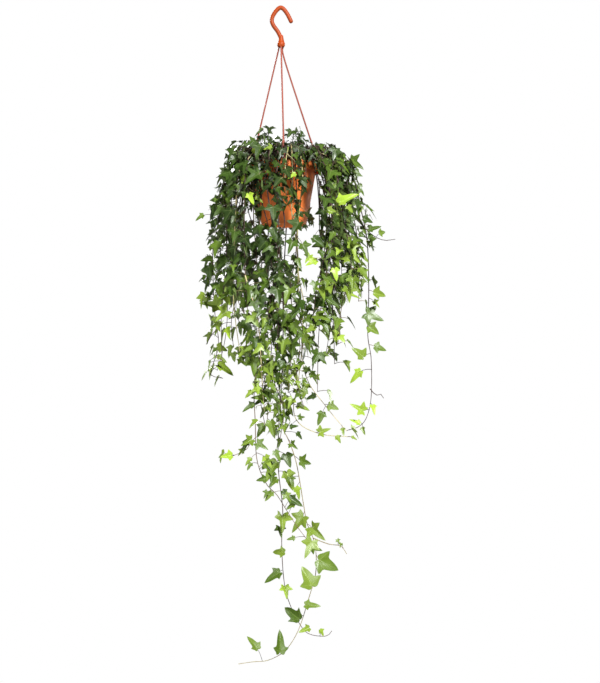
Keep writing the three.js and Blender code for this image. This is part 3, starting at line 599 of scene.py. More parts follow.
def hang_leaf(plant, leaf, samples, around):
    """Adds the leaf to its plant, if its place is free."""
    if not is_free(samples, plant.owner):
        return False
    keep_space(samples[NEAR_STEM:], plant.owner + 1, around)
    plant.leaves.append(leaf)
    return True


# Leaves of the plain model

SHOWN_LIFTS = range(8, 33, 6)
RULED_TRIES = 16


def heading_wish(heading, toward_viewer):
    turn = math.radians(heading)
    return np.array([math.sin(turn), toward_viewer, -math.cos(turn)])


def wishes_at(root, side):
    """Directions outwards from the pot's axis, across it, and up, at a place."""
    out = unit(np.array([root[0] - POT_X, root[1], 0]))
    up = np.array([0.0, 0.0, 1.0])
    across = np.cross(up, out) * side
    return lambda outward, sideways, upward: outward * out + sideways * across + upward * up


def place_shown_leaf(plant, spec, seed):
    """A leaf that the photo shows: it faces the viewer and stands in front of its stem."""
    x, z, length, heading = spec
    near = [nearest_in_view(stem, x, z) for stem in plant.stems]
    order = int(np.argmin([away for away, distance in near]))
    stem = plant.stems[order]
    distance = min(stem.length - 1, max(1, near[order][1] - 5))
    root = point_on_stem(stem, distance)
    random = random_stream(seed)
    axis_wish = heading_wish(heading, 0.7 * random() - 0.35)
    normal_wish = np.array([1.3 * random() - 0.65, -1, 0.1 + 0.7 * random()])
    for lift in SHOWN_LIFTS:
        joint = np.array([x, root[1] - lift, z])
        leaf = make_leaf(root, joint, normal_wish, axis_wish, length, order, distance, shown=True)
        if hang_leaf(plant, leaf, leaf_samples(leaf), NEIGHBOURS):
            return


def place_ruled_leaf(plant, distance, side, seed):
    """A leaf by rule: alternate sides, facing out and up, tip hanging."""
    stem = plant.stems[0]
    random = random_stream(seed)
    root = point_on_stem(stem, distance)
    share = distance / stem.length
    wish = wishes_at(root, side)
    for attempt in range(RULED_TRIES):
        length = (28 if plant.crown else 36 - 9 * share) * (0.85 + 0.3 * random())
        reach = (14 if plant.crown else 9) + (26 - 12 * share) * random()
        stalk = unit(wish(0.3 + 0.8 * random(), 0.3 + 0.9 * random(), plant.lift * random() - 0.1))
        normal_wish = wish(0.9, 0.9 * random() - 0.3, 0.2 + (1.6 if plant.crown else 0.8) * random())
        axis_wish = wish(0.5 * random() + 0.2, 1.5 * random() - 0.5, -1) + 0.3 * stalk
        leaf = make_leaf(root, root + stalk * reach, normal_wish, axis_wish, length, 0, distance)
        samples = leaf_samples(leaf)
        if not covers_window(samples) and hang_leaf(plant, leaf, samples, NEIGHBOURS):
            return


# Routes of the stems

OUTER_ROOTS = 51
INFILL_ROOTS = 44
INNER_ROOTS = 37
TRAIL_PIECE = 70
TRAIL_WANDER = 28
OVER_RIM = 28
OVER_RIM_REACH = 87
UNDER_RIM = 16
RISER_HEIGHT = 16
SHOULDER_RISE = 8
TRAIL_LIFT = 0.6
CROWN_LIFT = 1.4
SOCKET_DEPTH = 3
CLIP_OVERLAP = 4


def around_pot(radius, degrees, z):
    angle = math.radians(degrees)
    return np.array([POT_X + radius * math.cos(angle), radius * math.sin(angle), z])


def angle_of(point):
    return math.degrees(math.atan2(point[1], point[0] - POT_X))


def strand_route(name):
    degrees = STRAND_ANGLES[name]
    angle = math.radians(degrees)
    top = np.array([HEAD_X + STRAND_SPREAD * math.cos(angle), STRAND_SPREAD * math.sin(angle),
                    HEAD_BOTTOM + SOCKET_DEPTH])
    end = around_pot(CLIP_TOP_RADIUS, degrees, CLIP_TOP - CLIP_OVERLAP)
    early = top + 0.16 * (end - top)
    early[0] -= STRAND_BOW[name]
    return [top, early, end]


def hidden_route(spec, seed):
    angle, reach, drop = spec
    random = random_stream(seed)
    start_z = RIM_Z - UNDER_RIM
    route = [around_pot(OVER_RIM_REACH, angle, RIM_Z + OVER_RIM),
             around_pot(0.85 * reach, angle + 1, start_z)]
    pieces = math.ceil(drop / TRAIL_PIECE)
    for k in range(1, pieces + 1):
        radius = reach * (0.9 + 0.15 * k / pieces)
        place = around_pot(radius, angle, start_z - (drop - UNDER_RIM) * k / pieces)
        wander = np.array([TRAIL_WANDER * (random() - 0.5), TRAIL_WANDER * (random() - 0.5), 0])
        route.append(place + wander)
    return route


def rooted(route, root_radius):
    """The route with its start in the soil, and its rise over the rim."""
    angle = angle_of(route[0])
    riser = around_pot(root_radius + 3, angle, SOIL_Z + RISER_HEIGHT)
    shoulder = riser + 0.5 * (np.array(route[0]) - riser)
    shoulder[2] += SHOULDER_RISE
    return [around_pot(root_radius, angle, SOIL_Z - HOLE_DEPTH), riser, shoulder, *route]


def upright_route(root_radius, knots):
    """From the soil up through (radius past the root, angle, height over the soil) knots."""
    angle = knots[0][1]
    route = [around_pot(root_radius, angle, SOIL_Z - HOLE_DEPTH)]
    for past, degrees, height in knots:
        route.append(around_pot(root_radius + past, degrees, SOIL_Z + height))
    return route


def crown_route(order):
    angle = 360 * order / CROWN_COUNT + 20
    return upright_route(24 if order % 2 == 0 else 12,
                         [(2, angle, 8), (8, angle, 30), (18, angle, 46)])


def spray_route(angle, root_radius, lean, height):
    return upright_route(root_radius, [(2, angle, 8), (0.4 * lean, angle, 0.6 * height),
                                       (lean, angle + 4, height)])


def make_plant(name, routes, shown=(), crown=False, node=True, tone=None):
    return SimpleNamespace(name=name, stems=[make_stem(route) for route in routes], shown=shown,
                           leaves=[], lift=CROWN_LIFT if crown else TRAIL_LIFT, crown=crown,
                           node=node, tall=False, tone=STEM_TONES.get(name, tone))


def keep_stems(plants, around):
    for order, plant in enumerate(plants):
        plant.owner = FIRST_OWNER + 2 * order
        for stem in plant.stems:
            for start, end in zip(stem.line[:-1], stem.line[1:]):
                keep_space(points_along(start, end, ROUTE_SAMPLE), plant.owner, around)
    for name, degrees in STRAND_ANGLES.items():
        line = [*strand_route(name), around_pot(SLOT_RADIUS, degrees, RIM_Z)]
        for start, end in zip(line[:-1], line[1:]):
            keep_space(points_along(start, end, ROUTE_SAMPLE), STRAND_OWNER, around)


# The plants of the plain model

FIRST_LEAF = 58
FIRST_CROWN_LEAF = 34
CROWN_SPACING = 11
FULLY_SHOWN = 5  # with more shown leaves than this, the stem has no others past the first


def shown_from(plant):
    """Distance along the main stem from where all its leaves are those that the photo shows."""
    shown = [leaf.distance for leaf in plant.leaves if leaf.shown and leaf.stem == 0]
    return min(shown) if len(shown) > FULLY_SHOWN else plant.stems[0].length


def plain_plants():
    trails = list(SHOWN_TRAILS)
    for order, spec in enumerate(HIDDEN_TRAILS):
        route = hidden_route(spec, HIDDEN_SEED + order)
        trails.append({"name": f"trail_hidden_{order + 1}", "route": route, "leaves": []})
    ranked = sorted(trails, key=lambda trail: angle_of(trail["route"][0]))
    ranks = {trail["name"]: rank for rank, trail in enumerate(ranked)}
    plants = []
    for trail in trails:
        root_radius = OUTER_ROOTS if ranks[trail["name"]] % 2 == 0 else INNER_ROOTS
        routes = [rooted(trail["route"], root_radius), *trail.get("shoots", [])]
        plants.append(make_plant(trail["name"], routes, trail["leaves"]))
    for order in range(CROWN_COUNT):
        plants.append(make_plant(f"crown_{order + 1}", [crown_route(order)], crown=True))
    return plants


def grow_plants():
    """The plants of the plain model, with the same stems and leaves in the same places."""
    plants = plain_plants()
    keep_stems(plants, NEIGHBOURS)
    for order, plant in enumerate(plants):
        for k, spec in enumerate(plant.shown):
            place_shown_leaf(plant, spec, PLANT_SEEDS * order + SHOWN_SEED + k)
    for order, plant in enumerate(plants):
        length = plant.stems[0].length
        spacing = CROWN_SPACING if plant.crown else LEAF_SPACING
        distance = FIRST_CROWN_LEAF if plant.crown else FIRST_LEAF
        ruled_to = shown_from(plant)
        side = 1 if order % 2 == 0 else -1
        seed = PLANT_SEEDS * order
        while distance < min(length, ruled_to):
            place_ruled_leaf(plant, distance, side, seed)
            distance += spacing
            side = -side
            seed += 1
        if ruled_to == length:
            place_ruled_leaf(plant, length - 1, side, seed)
    return plants


# Rules for more leaves and stems, which fill the plant between those of the plain model

VIEW_CELL = 2
VIEW_LOW = (-300, -1450)
ANY_DEPTH = 1000
BARE_STALK = 8  # so many of a leaf's first samples are stalk, which may be hidden
HIDING_SHARE = 0.09
OUTLINE_SLACK = 4
VIEW_DEPTH_SLACK = 4
BOX_SLACK = 6
CROWD_SPACING = 0.62
kept_view = np.full((320, 740), -float(ANY_DEPTH))


def view_cells(points):
    x, z = seen_from_camera(points)
    column = np.floor((x - VIEW_LOW[0]) / VIEW_CELL).astype(int)
    row = np.floor((z - VIEW_LOW[1]) / VIEW_CELL).astype(int)
    return column, row


def view_cell(place, axis):
    return round((place - VIEW_LOW[axis]) / VIEW_CELL)


def keep_windows(windows, depth):
    """Nothing nearer to the camera than this depth may cover the windows."""
    for left, right, bottom, top in windows:
        columns = slice(view_cell(left, 0), view_cell(right, 0))
        rows = slice(view_cell(bottom, 1), view_cell(top, 1))
        kept_view[columns, rows] = np.maximum(kept_view[columns, rows], depth)


def keep_in_view(points):
    """Nothing may grow between these points and the camera."""
    cells = view_cells(points)
    kept_view[cells] = np.maximum(kept_view[cells], points[:, 1] + VIEW_DEPTH_SLACK)


def hides_view(samples):
    return (samples[:, 1] < kept_view[view_cells(samples)]).mean() > HIDING_SHARE


def along(line, places):
    across, value = np.array(line, dtype=float).T
    return np.interp(places, across, value)


def inside_outline(samples):
    x, z = seen_from_camera(samples)
    low = z > along(MASS_BOTTOM, x) - OUTLINE_SLACK
    high = z < along(MASS_TOP, x) + OUTLINE_SLACK
    sides = (x > along(MASS_LEFT, z) - OUTLINE_SLACK) & (x < along(MASS_RIGHT, z) + OUTLINE_SLACK)
    return bool(np.all(low & high & sides))


def inside_model(samples):
    low, high = np.array(cad_box[0]) / MM, np.array(cad_box[1]) / MM
    return bool(np.all(samples > low - BOX_SLACK) and np.all(samples < high + BOX_SLACK))


def leaf_length_at(z):
    return np.interp(z, [-1300, -1000, -860, -740, -600, -450, -300], [20, 20, 22, 26, 33, 28, 24])


def spacing_at(z):
    return np.interp(z, [-900, -820, -700, -600, -450, -300], [11, 9.5, 9, 9, 7.5, 6.5])


def near_rim(place):
    """Where the stems crowd together: over the rim, and before the pot on the left."""
    x, y, z = place
    return z > RIM_Z - 25 or (y < -60 and -70 < x < 20 and z > RIM_Z - 95)


def patch(place, size, layer):
    """A value from about -1 to 1 that changes slowly over the plant."""
    x, y, z = place / size
    return noise.noise(Vector((x, y + 7.3 * layer, z)))


def crowding(place):
    """Share of the leaves that grow at a place: clumps, and the thin parts of the plant."""
    share = 1.0 + 1.4 * patch(place, 46, 1)
    for left, right, bottom, top, kept in THIN_ZONES:
        if left < place[0] < right and bottom < place[2] < top:
            share *= kept
    return share


def tone_at(place, random):
    """Age of a leaf, from 0, old and dark, to 1, young and bright, with painted light that makes the
    leaves lighter on the right side and at the lower left.
    """
    x, y, z = place
    tone = np.interp(z, [-1350, -900, -720, -560, -440, -300], [0.5, 0.52, 0.5, 0.26, 0.15, 0.08])
    # Painted light: leaves on the right side are lighter, as where the light falls from the right;
    # the patch noise is random tone.
    tone += 0.3 * np.clip((x - 60) / 90, 0, 1) + 0.22 * patch(place, 60, 2)
    # Painted light: leaves at the lower left are lighter, to make up for the shade that the mass
    # casts on them.
    tone += 0.3 * np.clip((-50 - x) / 50, 0, 1) * np.clip((-560 - z) / 80, 0, 1)
    return float(np.clip(tone + 0.6 * (random() - 0.5) * (random() + 0.35), 0, 1))


# The leaves and stems that follow those rules

EXTRA_TRIES = 11
SMALLER_EACH_TRY = 0.045
EXTRA_FROM = 26
CROWN_EXTRA_FROM = 18
CROWN_EXTRA_SPACING = 5
ACCENT_TRIES = 14
ACCENT_REACH = 9
CROWN_LEAF = 25
SEARCH_SAMPLES = 400
VINE_SAMPLES = 150


def place_extra_leaf(plant, distance, side, random):
    stem = plant.stems[0]
    root = point_on_stem(stem, distance)
    share = distance / stem.length
    wish = wishes_at(root, side)
    for attempt in range(EXTRA_TRIES):
        smaller = 1 - SMALLER_EACH_TRY * attempt
        length = leaf_length_at(root[2]) * (0.62 + 0.62 * random()) * smaller
        if plant.crown:
            length = CROWN_LEAF * (0.7 + 0.5 * random()) * smaller
        reach = 6 + (28 - 14 * share) * random()
        stalk = unit(wish(0.2 + 0.9 * random(), 0.1 + 1.1 * random(), plant.lift * random() - 0.1))
        normal_wish = wish(0.2 + 0.8 * random(), 2.4 * random() - 1.2,
                           (1.6 if plant.crown else 1.3) * random() - 0.1)
        axis_wish = wish(0.9 * random() - 0.2, 2.6 * random() - 1.3, -1) + 0.3 * stalk
        leaf = make_leaf(root, root + stalk * reach, normal_wish, axis_wish, length, 0, distance)
        samples = leaf_samples(leaf)
        if not inside_model(samples) or hides_view(samples):
            continue
        if not (plant.tall or inside_outline(samples)):
            continue
        if hang_leaf(plant, leaf, samples, OWN_CELL):
            return


def shown_leaf_near(plant, x, z):
    for leaf in plant.leaves:
        if leaf.shown and math.hypot(leaf.joint[0] - x, leaf.joint[2] - z) < ACCENT_REACH:
            return leaf
    return None


def place_accent_leaf(plants, spec, seed):
    """A pale or bright leaf of the photo. It is the leaf of the plain model that is there
    already, or a new one on the stem that passes nearest behind it."""
    x, z, length, heading, tone = spec
    random = random_stream(seed)
    best = None
    for plant in plants:
        there = shown_leaf_near(plant, x, z)
        if there:
            there.tone = tone
            return
        for order, stem in enumerate(plant.stems):
            away, distance = nearest_in_view(stem, x, z)
            cost = away + 0.3 * point_on_stem(stem, distance)[1]
            if best is None or cost < best[0]:
                best = (cost, plant, order, distance)
    cost, plant, order, distance = best
    root = point_on_stem(plant.stems[order], max(1, distance - 6))
    axis_wish = heading_wish(heading, -0.2)
    normal_wish = np.array([0.6 * (random() - 0.5), -1, 0.35])
    for attempt in range(ACCENT_TRIES):
        joint = placed_as_seen(x, root[1] - 8 - 3 * attempt, z)
        leaf = make_leaf(root, joint, normal_wish, axis_wish, length * (1 - 0.02 * attempt),
                         order, distance, shown=True, tone=tone)
        samples = leaf_samples(leaf)
        if hang_leaf(plant, leaf, samples, OWN_CELL):
            keep_in_view(samples[BARE_STALK:])
            return


def add_stems(plants):
    """The infill trails and sprays, the crossing shoots and the pale vines."""
    for order, (angle, reach, drop) in enumerate(INFILL_TRAILS):
        lowest = RIM_Z - along(MASS_BOTTOM, around_pot(reach, angle, 0)[0])
        route = hidden_route((angle, reach, min(drop, lowest)), INFILL_SEED + order)
        trail = make_plant(f"infill_trail_{order + 1}", [rooted(route, INFILL_ROOTS)], node=False)
        plants.append(trail)
    for order, spec in enumerate(INFILL_SPRAYS):
        spray = make_plant(f"infill_spray_{order + 1}", [spray_route(*spec)], crown=True, node=False)
        spray.tall = spec[-1] > TALL_SPRAY
        plants.append(spray)
    for name, height, tone, route in CROSSING_SHOOTS:
        stem = next(plant.stems[0] for plant in plants if plant.name == name)
        line = stem.curve.at(np.linspace(0, 1, SEARCH_SAMPLES))
        start = line[np.argmin(np.abs(line[:, 2] - height))]
        plants.append(make_plant("shoot_of_" + name, [[start, *route]], node=False, tone=tone))
    for order, (tone, route) in enumerate(PALE_VINES):
        plants.append(make_plant(f"pale_vine_{order + 1}", [route], node=False, tone=tone))


def keep_what_is_there(plants):
    """Marks the space of every stem and leaf, and what has to stay in view."""
    space[:] = 0
    keep_stems(plants, OWN_CELL)
    for plant in plants:
        for leaf in plant.leaves:
            samples = leaf_samples(leaf)
            keep_space(samples[NEAR_STEM:], plant.owner + 1, OWN_CELL)
            if leaf.shown:
                keep_in_view(samples[BARE_STALK:])
        if plant.name.startswith("pale_vine"):
            keep_in_view(plant.stems[0].curve.at(np.linspace(0, 1, VINE_SAMPLES)))
    # Many stems cross the first gap, so the leaves between them may hang in it.
    keep_windows(OPEN_GAPS[1:], ANY_DEPTH)
    keep_windows(BARE_POT, POT_FRONT)


def fill_stem(plant, end, random):
    """Extra leaves along the main stem, as close together as the place asks for."""
    distance = CROWN_EXTRA_FROM if plant.crown else EXTRA_FROM
    side = 1
    while distance < min(plant.stems[0].length - 2, end):
        place = point_on_stem(plant.stems[0], distance)
        crowded = near_rim(place)
        if crowded or random() < crowding(place):
            place_extra_leaf(plant, distance, side, random)
        side = -side
        spacing = CROWN_EXTRA_SPACING if plant.crown else spacing_at(place[2])
        if crowded:
            spacing *= CROWD_SPACING
        distance += spacing * (0.75 + 0.5 * random())


def fill_plants(plants):
    """Adds the infill stems and every extra leaf."""
    add_stems(plants)
    ends = [shown_from(plant) for plant in plants]
    keep_what_is_there(plants)
    for k, spec in enumerate(ACCENT_LEAVES):
        place_accent_leaf(plants, spec, ACCENT_SEED + k)
    for order, (plant, end) in enumerate(zip(plants, ends)):
        fill_stem(plant, end, random_stream(EXTRA_SEED + order))


# Mesh helpers

def smooth_mesh(mesh, degrees=35):
    mesh.polygons.foreach_set("use_smooth", [True] * len(mesh.polygons))
    mesh.set_sharp_from_angle(angle=math.radians(degrees))


def new_object(name, data):
    made = bpy.data.objects.new(name, data)
    bpy.context.scene.collection.objects.link(made)
    return made


def add_piece(name, mesh, finishes, nodes=()):
    piece = new_object(name, mesh)
    for finish in finishes:
        mesh.materials.append(finish)
    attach(piece, "root")
    if nodes:
        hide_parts(*nodes)


def shift(bm, vec):
    bmesh.ops.translate(bm, vec=vec, verts=bm.verts)


def turn(bm, degrees):
    """Turns everything about the z axis."""
    bmesh.ops.rotate(bm, matrix=Matrix.Rotation(math.radians(degrees), 3, "Z"), verts=bm.verts)


def mesh_from(bm, name):
    """A finished mesh in metres from a bmesh in millimetres."""
    bmesh.ops.scale(bm, vec=(MM, MM, MM), verts=bm.verts)
    mesh = bpy.data.meshes.new(name)
    bm.to_mesh(mesh)
    bm.free()
    return mesh


def vertex_places(mesh):
    places = np.zeros(3 * len(mesh.vertices))
    mesh.vertices.foreach_get("co", places)
    return places.reshape(-1, 3)


def round_tubes(routes, roundness):
    """One mesh of round tubes; each route is its points and their radii."""
    curve = bpy.data.curves.new("tubes", "CURVE")
    curve.dimensions = "3D"
    curve.bevel_depth = 1
    curve.bevel_resolution = roundness
    curve.use_fill_caps = True
    for points, radii in routes:
        spline = curve.splines.new("POLY")
        spline.points.add(len(points) - 1)
        spline.points.foreach_set("co", np.column_stack([points, np.ones(len(points))]).ravel())
        spline.points.foreach_set("radius", np.asarray(radii, dtype=float))
    holder = bpy.data.objects.new("tubes", curve)
    mesh = bpy.data.meshes.new_from_object(holder)
    bpy.data.objects.remove(holder)
    bpy.data.curves.remove(curve)
    return mesh


def add_tubes(bm, routes, roundness):
    """Adds round tubes to a bmesh, and gives the places of their vertices."""
    tubes = round_tubes(routes, roundness)
    places = vertex_places(tubes)
    bm.from_mesh(tubes)
    bpy.data.meshes.remove(tubes)
    return places


def lathe(profile, sides):
    """A closed round body from (radius, z) points, about the z axis."""
    bm = bmesh.new()
    verts = [bm.verts.new((radius, 0, z)) for radius, z in profile]
    edges = [bm.edges.new(pair) for pair in zip(verts[:-1], verts[1:])]
    bmesh.ops.spin(bm, geom=verts + edges, cent=(0, 0, 0), axis=(0, 0, 1), angle=2 * math.pi,
                   steps=sides, use_merge=True)
    bmesh.ops.remove_doubles(bm, verts=bm.verts, dist=1e-4)
    bmesh.ops.recalc_face_normals(bm, faces=bm.faces)
    return bm


def soften(bm, width, segments, degrees=30):
    """Rounds every edge that is sharper than this."""
    sharp = [edge for edge in bm.edges
             if edge.is_manifold and edge.calc_face_angle() > math.radians(degrees)]
    bmesh.ops.bevel(bm, geom=sharp, offset=width, offset_type="OFFSET", affect="EDGES",
                    segments=segments, profile=0.5, material=-1, clamp_overlap=True)


# Leaf blades: half outlines as (degrees from the tip, radius) about the throat

LEAF_OUTLINES = {
    "broad": [
        (0, 1.0), (6, 0.84), (14, 0.62), (23, 0.46), (33, 0.38), (43, 0.45), (54, 0.57), (66, 0.67),
        (73, 0.54), (84, 0.4), (95, 0.34), (107, 0.36), (120, 0.43), (132, 0.34), (147, 0.21),
        (166, 0.1), (180, 0.035),
    ],
    "pointed": [
        (0, 1.04), (5, 0.88), (12, 0.68), (20, 0.51), (30, 0.39), (42, 0.42), (55, 0.55),
        (66, 0.66), (71, 0.57), (82, 0.42), (94, 0.34), (108, 0.35), (124, 0.42), (134, 0.33),
        (148, 0.2), (166, 0.09), (180, 0.035),
    ],
    "young": [
        (0, 1.0), (7, 0.86), (15, 0.7), (24, 0.56), (34, 0.46), (45, 0.45), (56, 0.52), (66, 0.6),
        (74, 0.5), (85, 0.37), (97, 0.31), (109, 0.28), (122, 0.25), (134, 0.22), (150, 0.16),
        (168, 0.08), (180, 0.035),
    ],
    "slender": [
        (0, 1.06), (6, 0.9), (13, 0.72), (21, 0.54), (32, 0.4), (44, 0.36), (54, 0.4), (63, 0.47),
        (72, 0.38), (84, 0.29), (97, 0.25), (110, 0.25), (124, 0.24), (136, 0.2), (150, 0.15),
        (168, 0.08), (180, 0.035),
    ],
}
LEAF_UV_SPAN = 2.0
LEAF_UV_THROAT = 0.35

# A plain blade in the mass keeps these points of its outline.
PLAIN_KEYS = (0, 2, 4, 5, 7, 9, 10, 12, 14, 15, 16)

TAIL_Z = -700
BRIGHT_TONE = 0.84
BROAD_SHARE = 0.6
TAIL_KINDS = ("slender", "pointed", "slender", "young")
SMALL_KINDS = ("young", "pointed", "slender")


def flat_blade(outline, cuts):
    bm = bmesh.new()
    half = len(outline) - 1
    bmesh.ops.create_circle(bm, cap_ends=True, cap_tris=True, segments=2 * half, radius=1)
    centre = min(bm.verts, key=lambda vert: vert.co.length)
    for vert in bm.verts:
        if vert is not centre:
            around = math.atan2(vert.co.x, vert.co.y)
            degrees, radius = outline[round(abs(around) / math.pi * half)]
            angle = math.copysign(math.radians(degrees), around)
            vert.co = (radius * math.sin(angle), radius * math.cos(angle), 0)
    bmesh.ops.subdivide_edges(bm, edges=list(centre.link_edges), cuts=cuts)
    bmesh.ops.recalc_face_normals(bm, faces=bm.faces)
    return bm


def leaf_master(outline, cuts):
    """A closed blade one unit long, flat, with z telling its upper from its under side."""
    bm = flat_blade(outline, cuts)
    under = bmesh.ops.duplicate(bm, geom=bm.verts[:] + bm.edges[:] + bm.faces[:])["geom"]
    bottom = [part for part in under if isinstance(part, bmesh.types.BMFace)]
    top = [face for face in bm.faces if face not in set(bottom)]
    bmesh.ops.reverse_faces(bm, faces=bottom if top[0].normal.z > 0 else top)
    for faces, height in ((top, 1), (bottom, -1)):
        for vert in {vert for face in faces for vert in face.verts if not vert.is_boundary}:
            vert.co.z = height
    rim = [vert for vert in bm.verts if vert.is_boundary]
    bmesh.ops.remove_doubles(bm, verts=rim, dist=1e-5)
    bm.normal_update()
    uv = bm.loops.layers.uv.new("leaf")
    under_mask = bm.faces.layers.float.new("under")
    for face in bm.faces:
        face[under_mask] = 1.0 if face.normal.z < 0 else 0.0
        for loop in face.loops:
            x, y, z = loop.vert.co
            loop[uv].uv = (0.5 + x / LEAF_UV_SPAN, (y / LEAF_UV_SPAN) + LEAF_UV_THROAT)
    for edge in bm.edges:
        edge.smooth = len({face[under_mask] for face in edge.link_faces}) == 1
    mesh = bpy.data.meshes.new("leaf_blade")
    bm.to_mesh(mesh)
    bm.free()
    return SimpleNamespace(mesh=mesh, places=vertex_places(mesh))


def blade_kind(leaf, random):
    if leaf.tone is not None:
        return "slender" if leaf.tone > BRIGHT_TONE or random() < 0.5 else "pointed"
    if leaf.shown and leaf.joint[2] < TAIL_Z:
        return TAIL_KINDS[int(len(TAIL_KINDS) * random())]
    if leaf.lobes == 5:
        return "broad" if random() < BROAD_SHARE else "pointed"
    return SMALL_KINDS[int(len(SMALL_KINDS) * random())]


def shaped_blade(leaf, places, random):
    """Vertex places of one blade: folded, drooping, with lobes that curl and waver."""
    x, y, face = places.T
    radius = np.hypot(x, y)
    around = np.arctan2(x, y)
    curl = 0.08 + 0.42 * random()
    fold = 0.66 * random() - 0.04
    wave = 0.012 + 0.03 * random()
    phase = 2 * math.pi * random()
    width = 0.93 + 0.14 * random()
    lift = plain_lift(x, y) + fold * np.abs(x) - curl * radius ** 3 * np.abs(np.sin(around))
    lift = lift + wave * radius * np.sin(5 * around + phase)
    twist = 0.3 * (random() - 0.5)
    lift = lift + twist * x * y
    lift = lift + face * BLADE_HALF_THICKNESS / leaf.length
    return on_leaf(leaf, width * x, y, lift)


# Stems and stalks

STEM_SAMPLE = 9
KNOT_SWELL = 0.1
STALK_BOW = np.array([0, 0.75, 1, 0.75, 0])[:, None]


def stem_tube(stem, order):
    """The line of a stem and its radii, with slight knots; shoots start thinner."""
    count = max(4, round(stem.length / STEM_SAMPLE))
    shares = np.linspace(0, 1, count + 1)
    base = STEM_BASE_RADIUS if order == 0 else 0.5 * (STEM_BASE_RADIUS + STEM_TIP_RADIUS)
    radii = base + (STEM_TIP_RADIUS - base) * shares
    knots = 1 + KNOT_SWELL * np.sin(2.1 * np.arange(count + 1) + order)
    return stem.curve.at(shares), radii * knots


def stalk_tube(leaf, stem):
    """A leaf stalk that leaves the stem and bends over into the blade's throat."""
    root = stem.curve.at([min(1, leaf.distance / stem.length)])[0]
    reach = np.linalg.norm(leaf.joint - root)
    straight = root + (leaf.joint - root) * np.linspace(0, 1, len(STALK_BOW))[:, None]
    bow = STALK_BOW * 0.1 * reach
    line = straight + bow * unit(leaf.normal + np.array([0, 0, 0.6]))
    line = np.vstack([line, leaf.joint + 0.06 * leaf.length * leaf.axis])
    radius = STALK_RADIUS * (0.7 + 0.3 * min(1, leaf.length / 34))
    return line, np.linspace(1.25, 0.8, len(line)) * radius


def stem_tones(plant, places, random):
    """Dark and woody on most stems, greener towards a young end."""
    woody = 0.02 + 0.3 * random() if plant.tone is None else plant.tone
    return woody + np.interp(places[:, 2], [-1300, -900, -650, -420], [0.2, 0.16, 0.1, 0.0])


def build_foliage(plant, masters, finishes):
    """One piece of a whole plant: its blades, then its stems and its leaf stalks."""
    random = random_stream(LOOK_SEED + plant.owner)
    bm = bmesh.new()
    places = []
    tones = []
    for leaf in plant.leaves:
        master = masters[blade_kind(leaf, random), leaf.shown]
        bm.from_mesh(master.mesh)
        places.append(shaped_blade(leaf, master.places, random))
        age = tone_at(leaf.joint, random)
        tones.append(np.full(len(master.places), age if leaf.tone is None else leaf.tone))
    leaf_tones = [blade[0] for blade in tones]
    blade_faces = len(bm.faces)
    stem_places = add_tubes(bm, [stem_tube(stem, k) for k, stem in enumerate(plant.stems)], 1)
    places.append(stem_places)
    tones.append(stem_tones(plant, stem_places, random))
    if plant.leaves:
        stalks = [stalk_tube(leaf, plant.stems[leaf.stem]) for leaf in plant.leaves]
        stalk_places = add_tubes(bm, stalks, 0)
        places.append(stalk_places)
        tones.append(np.repeat(leaf_tones, len(stalk_places) // len(stalks)))
    mesh = bpy.data.meshes.new("foliage_" + plant.name)
    bm.to_mesh(mesh)
    bm.free()
    mesh.vertices.foreach_set("co", (np.vstack(places) * MM).ravel())
    tone = mesh.attributes.new("tone", "FLOAT", "POINT")
    tone.data.foreach_set("value", np.concatenate(tones))
    slots = np.zeros(len(mesh.polygons), dtype=np.int32)
    slots[blade_faces:] = 1
    mesh.materials.clear()
    add_piece("foliage_" + plant.name, mesh, finishes,
              [plant.name] if plant.node else [])
    mesh.polygons.foreach_set("material_index", slots)
    mesh.polygons.foreach_set("use_smooth", [True] * len(mesh.polygons))
    mesh.update()


# Materials

class Wire:
    """A number that varies over a surface; Python's operators add Math nodes to it."""

    def __init__(self, finish, socket):
        self.finish = finish
        self.socket = socket

    def __add__(self, other):
        return self.finish.maths("ADD", self, other)

    def __sub__(self, other):
        return self.finish.maths("SUBTRACT", self, other)

    def __mul__(self, other):
        return self.finish.maths("MULTIPLY", self, other)

    def __truediv__(self, other):
        return self.finish.maths("DIVIDE", self, other)

    def __rsub__(self, other):
        return self.finish.maths("SUBTRACT", other, self)

    def __abs__(self):
        return self.finish.maths("ABSOLUTE", self)

    __radd__ = __add__
    __rmul__ = __mul__


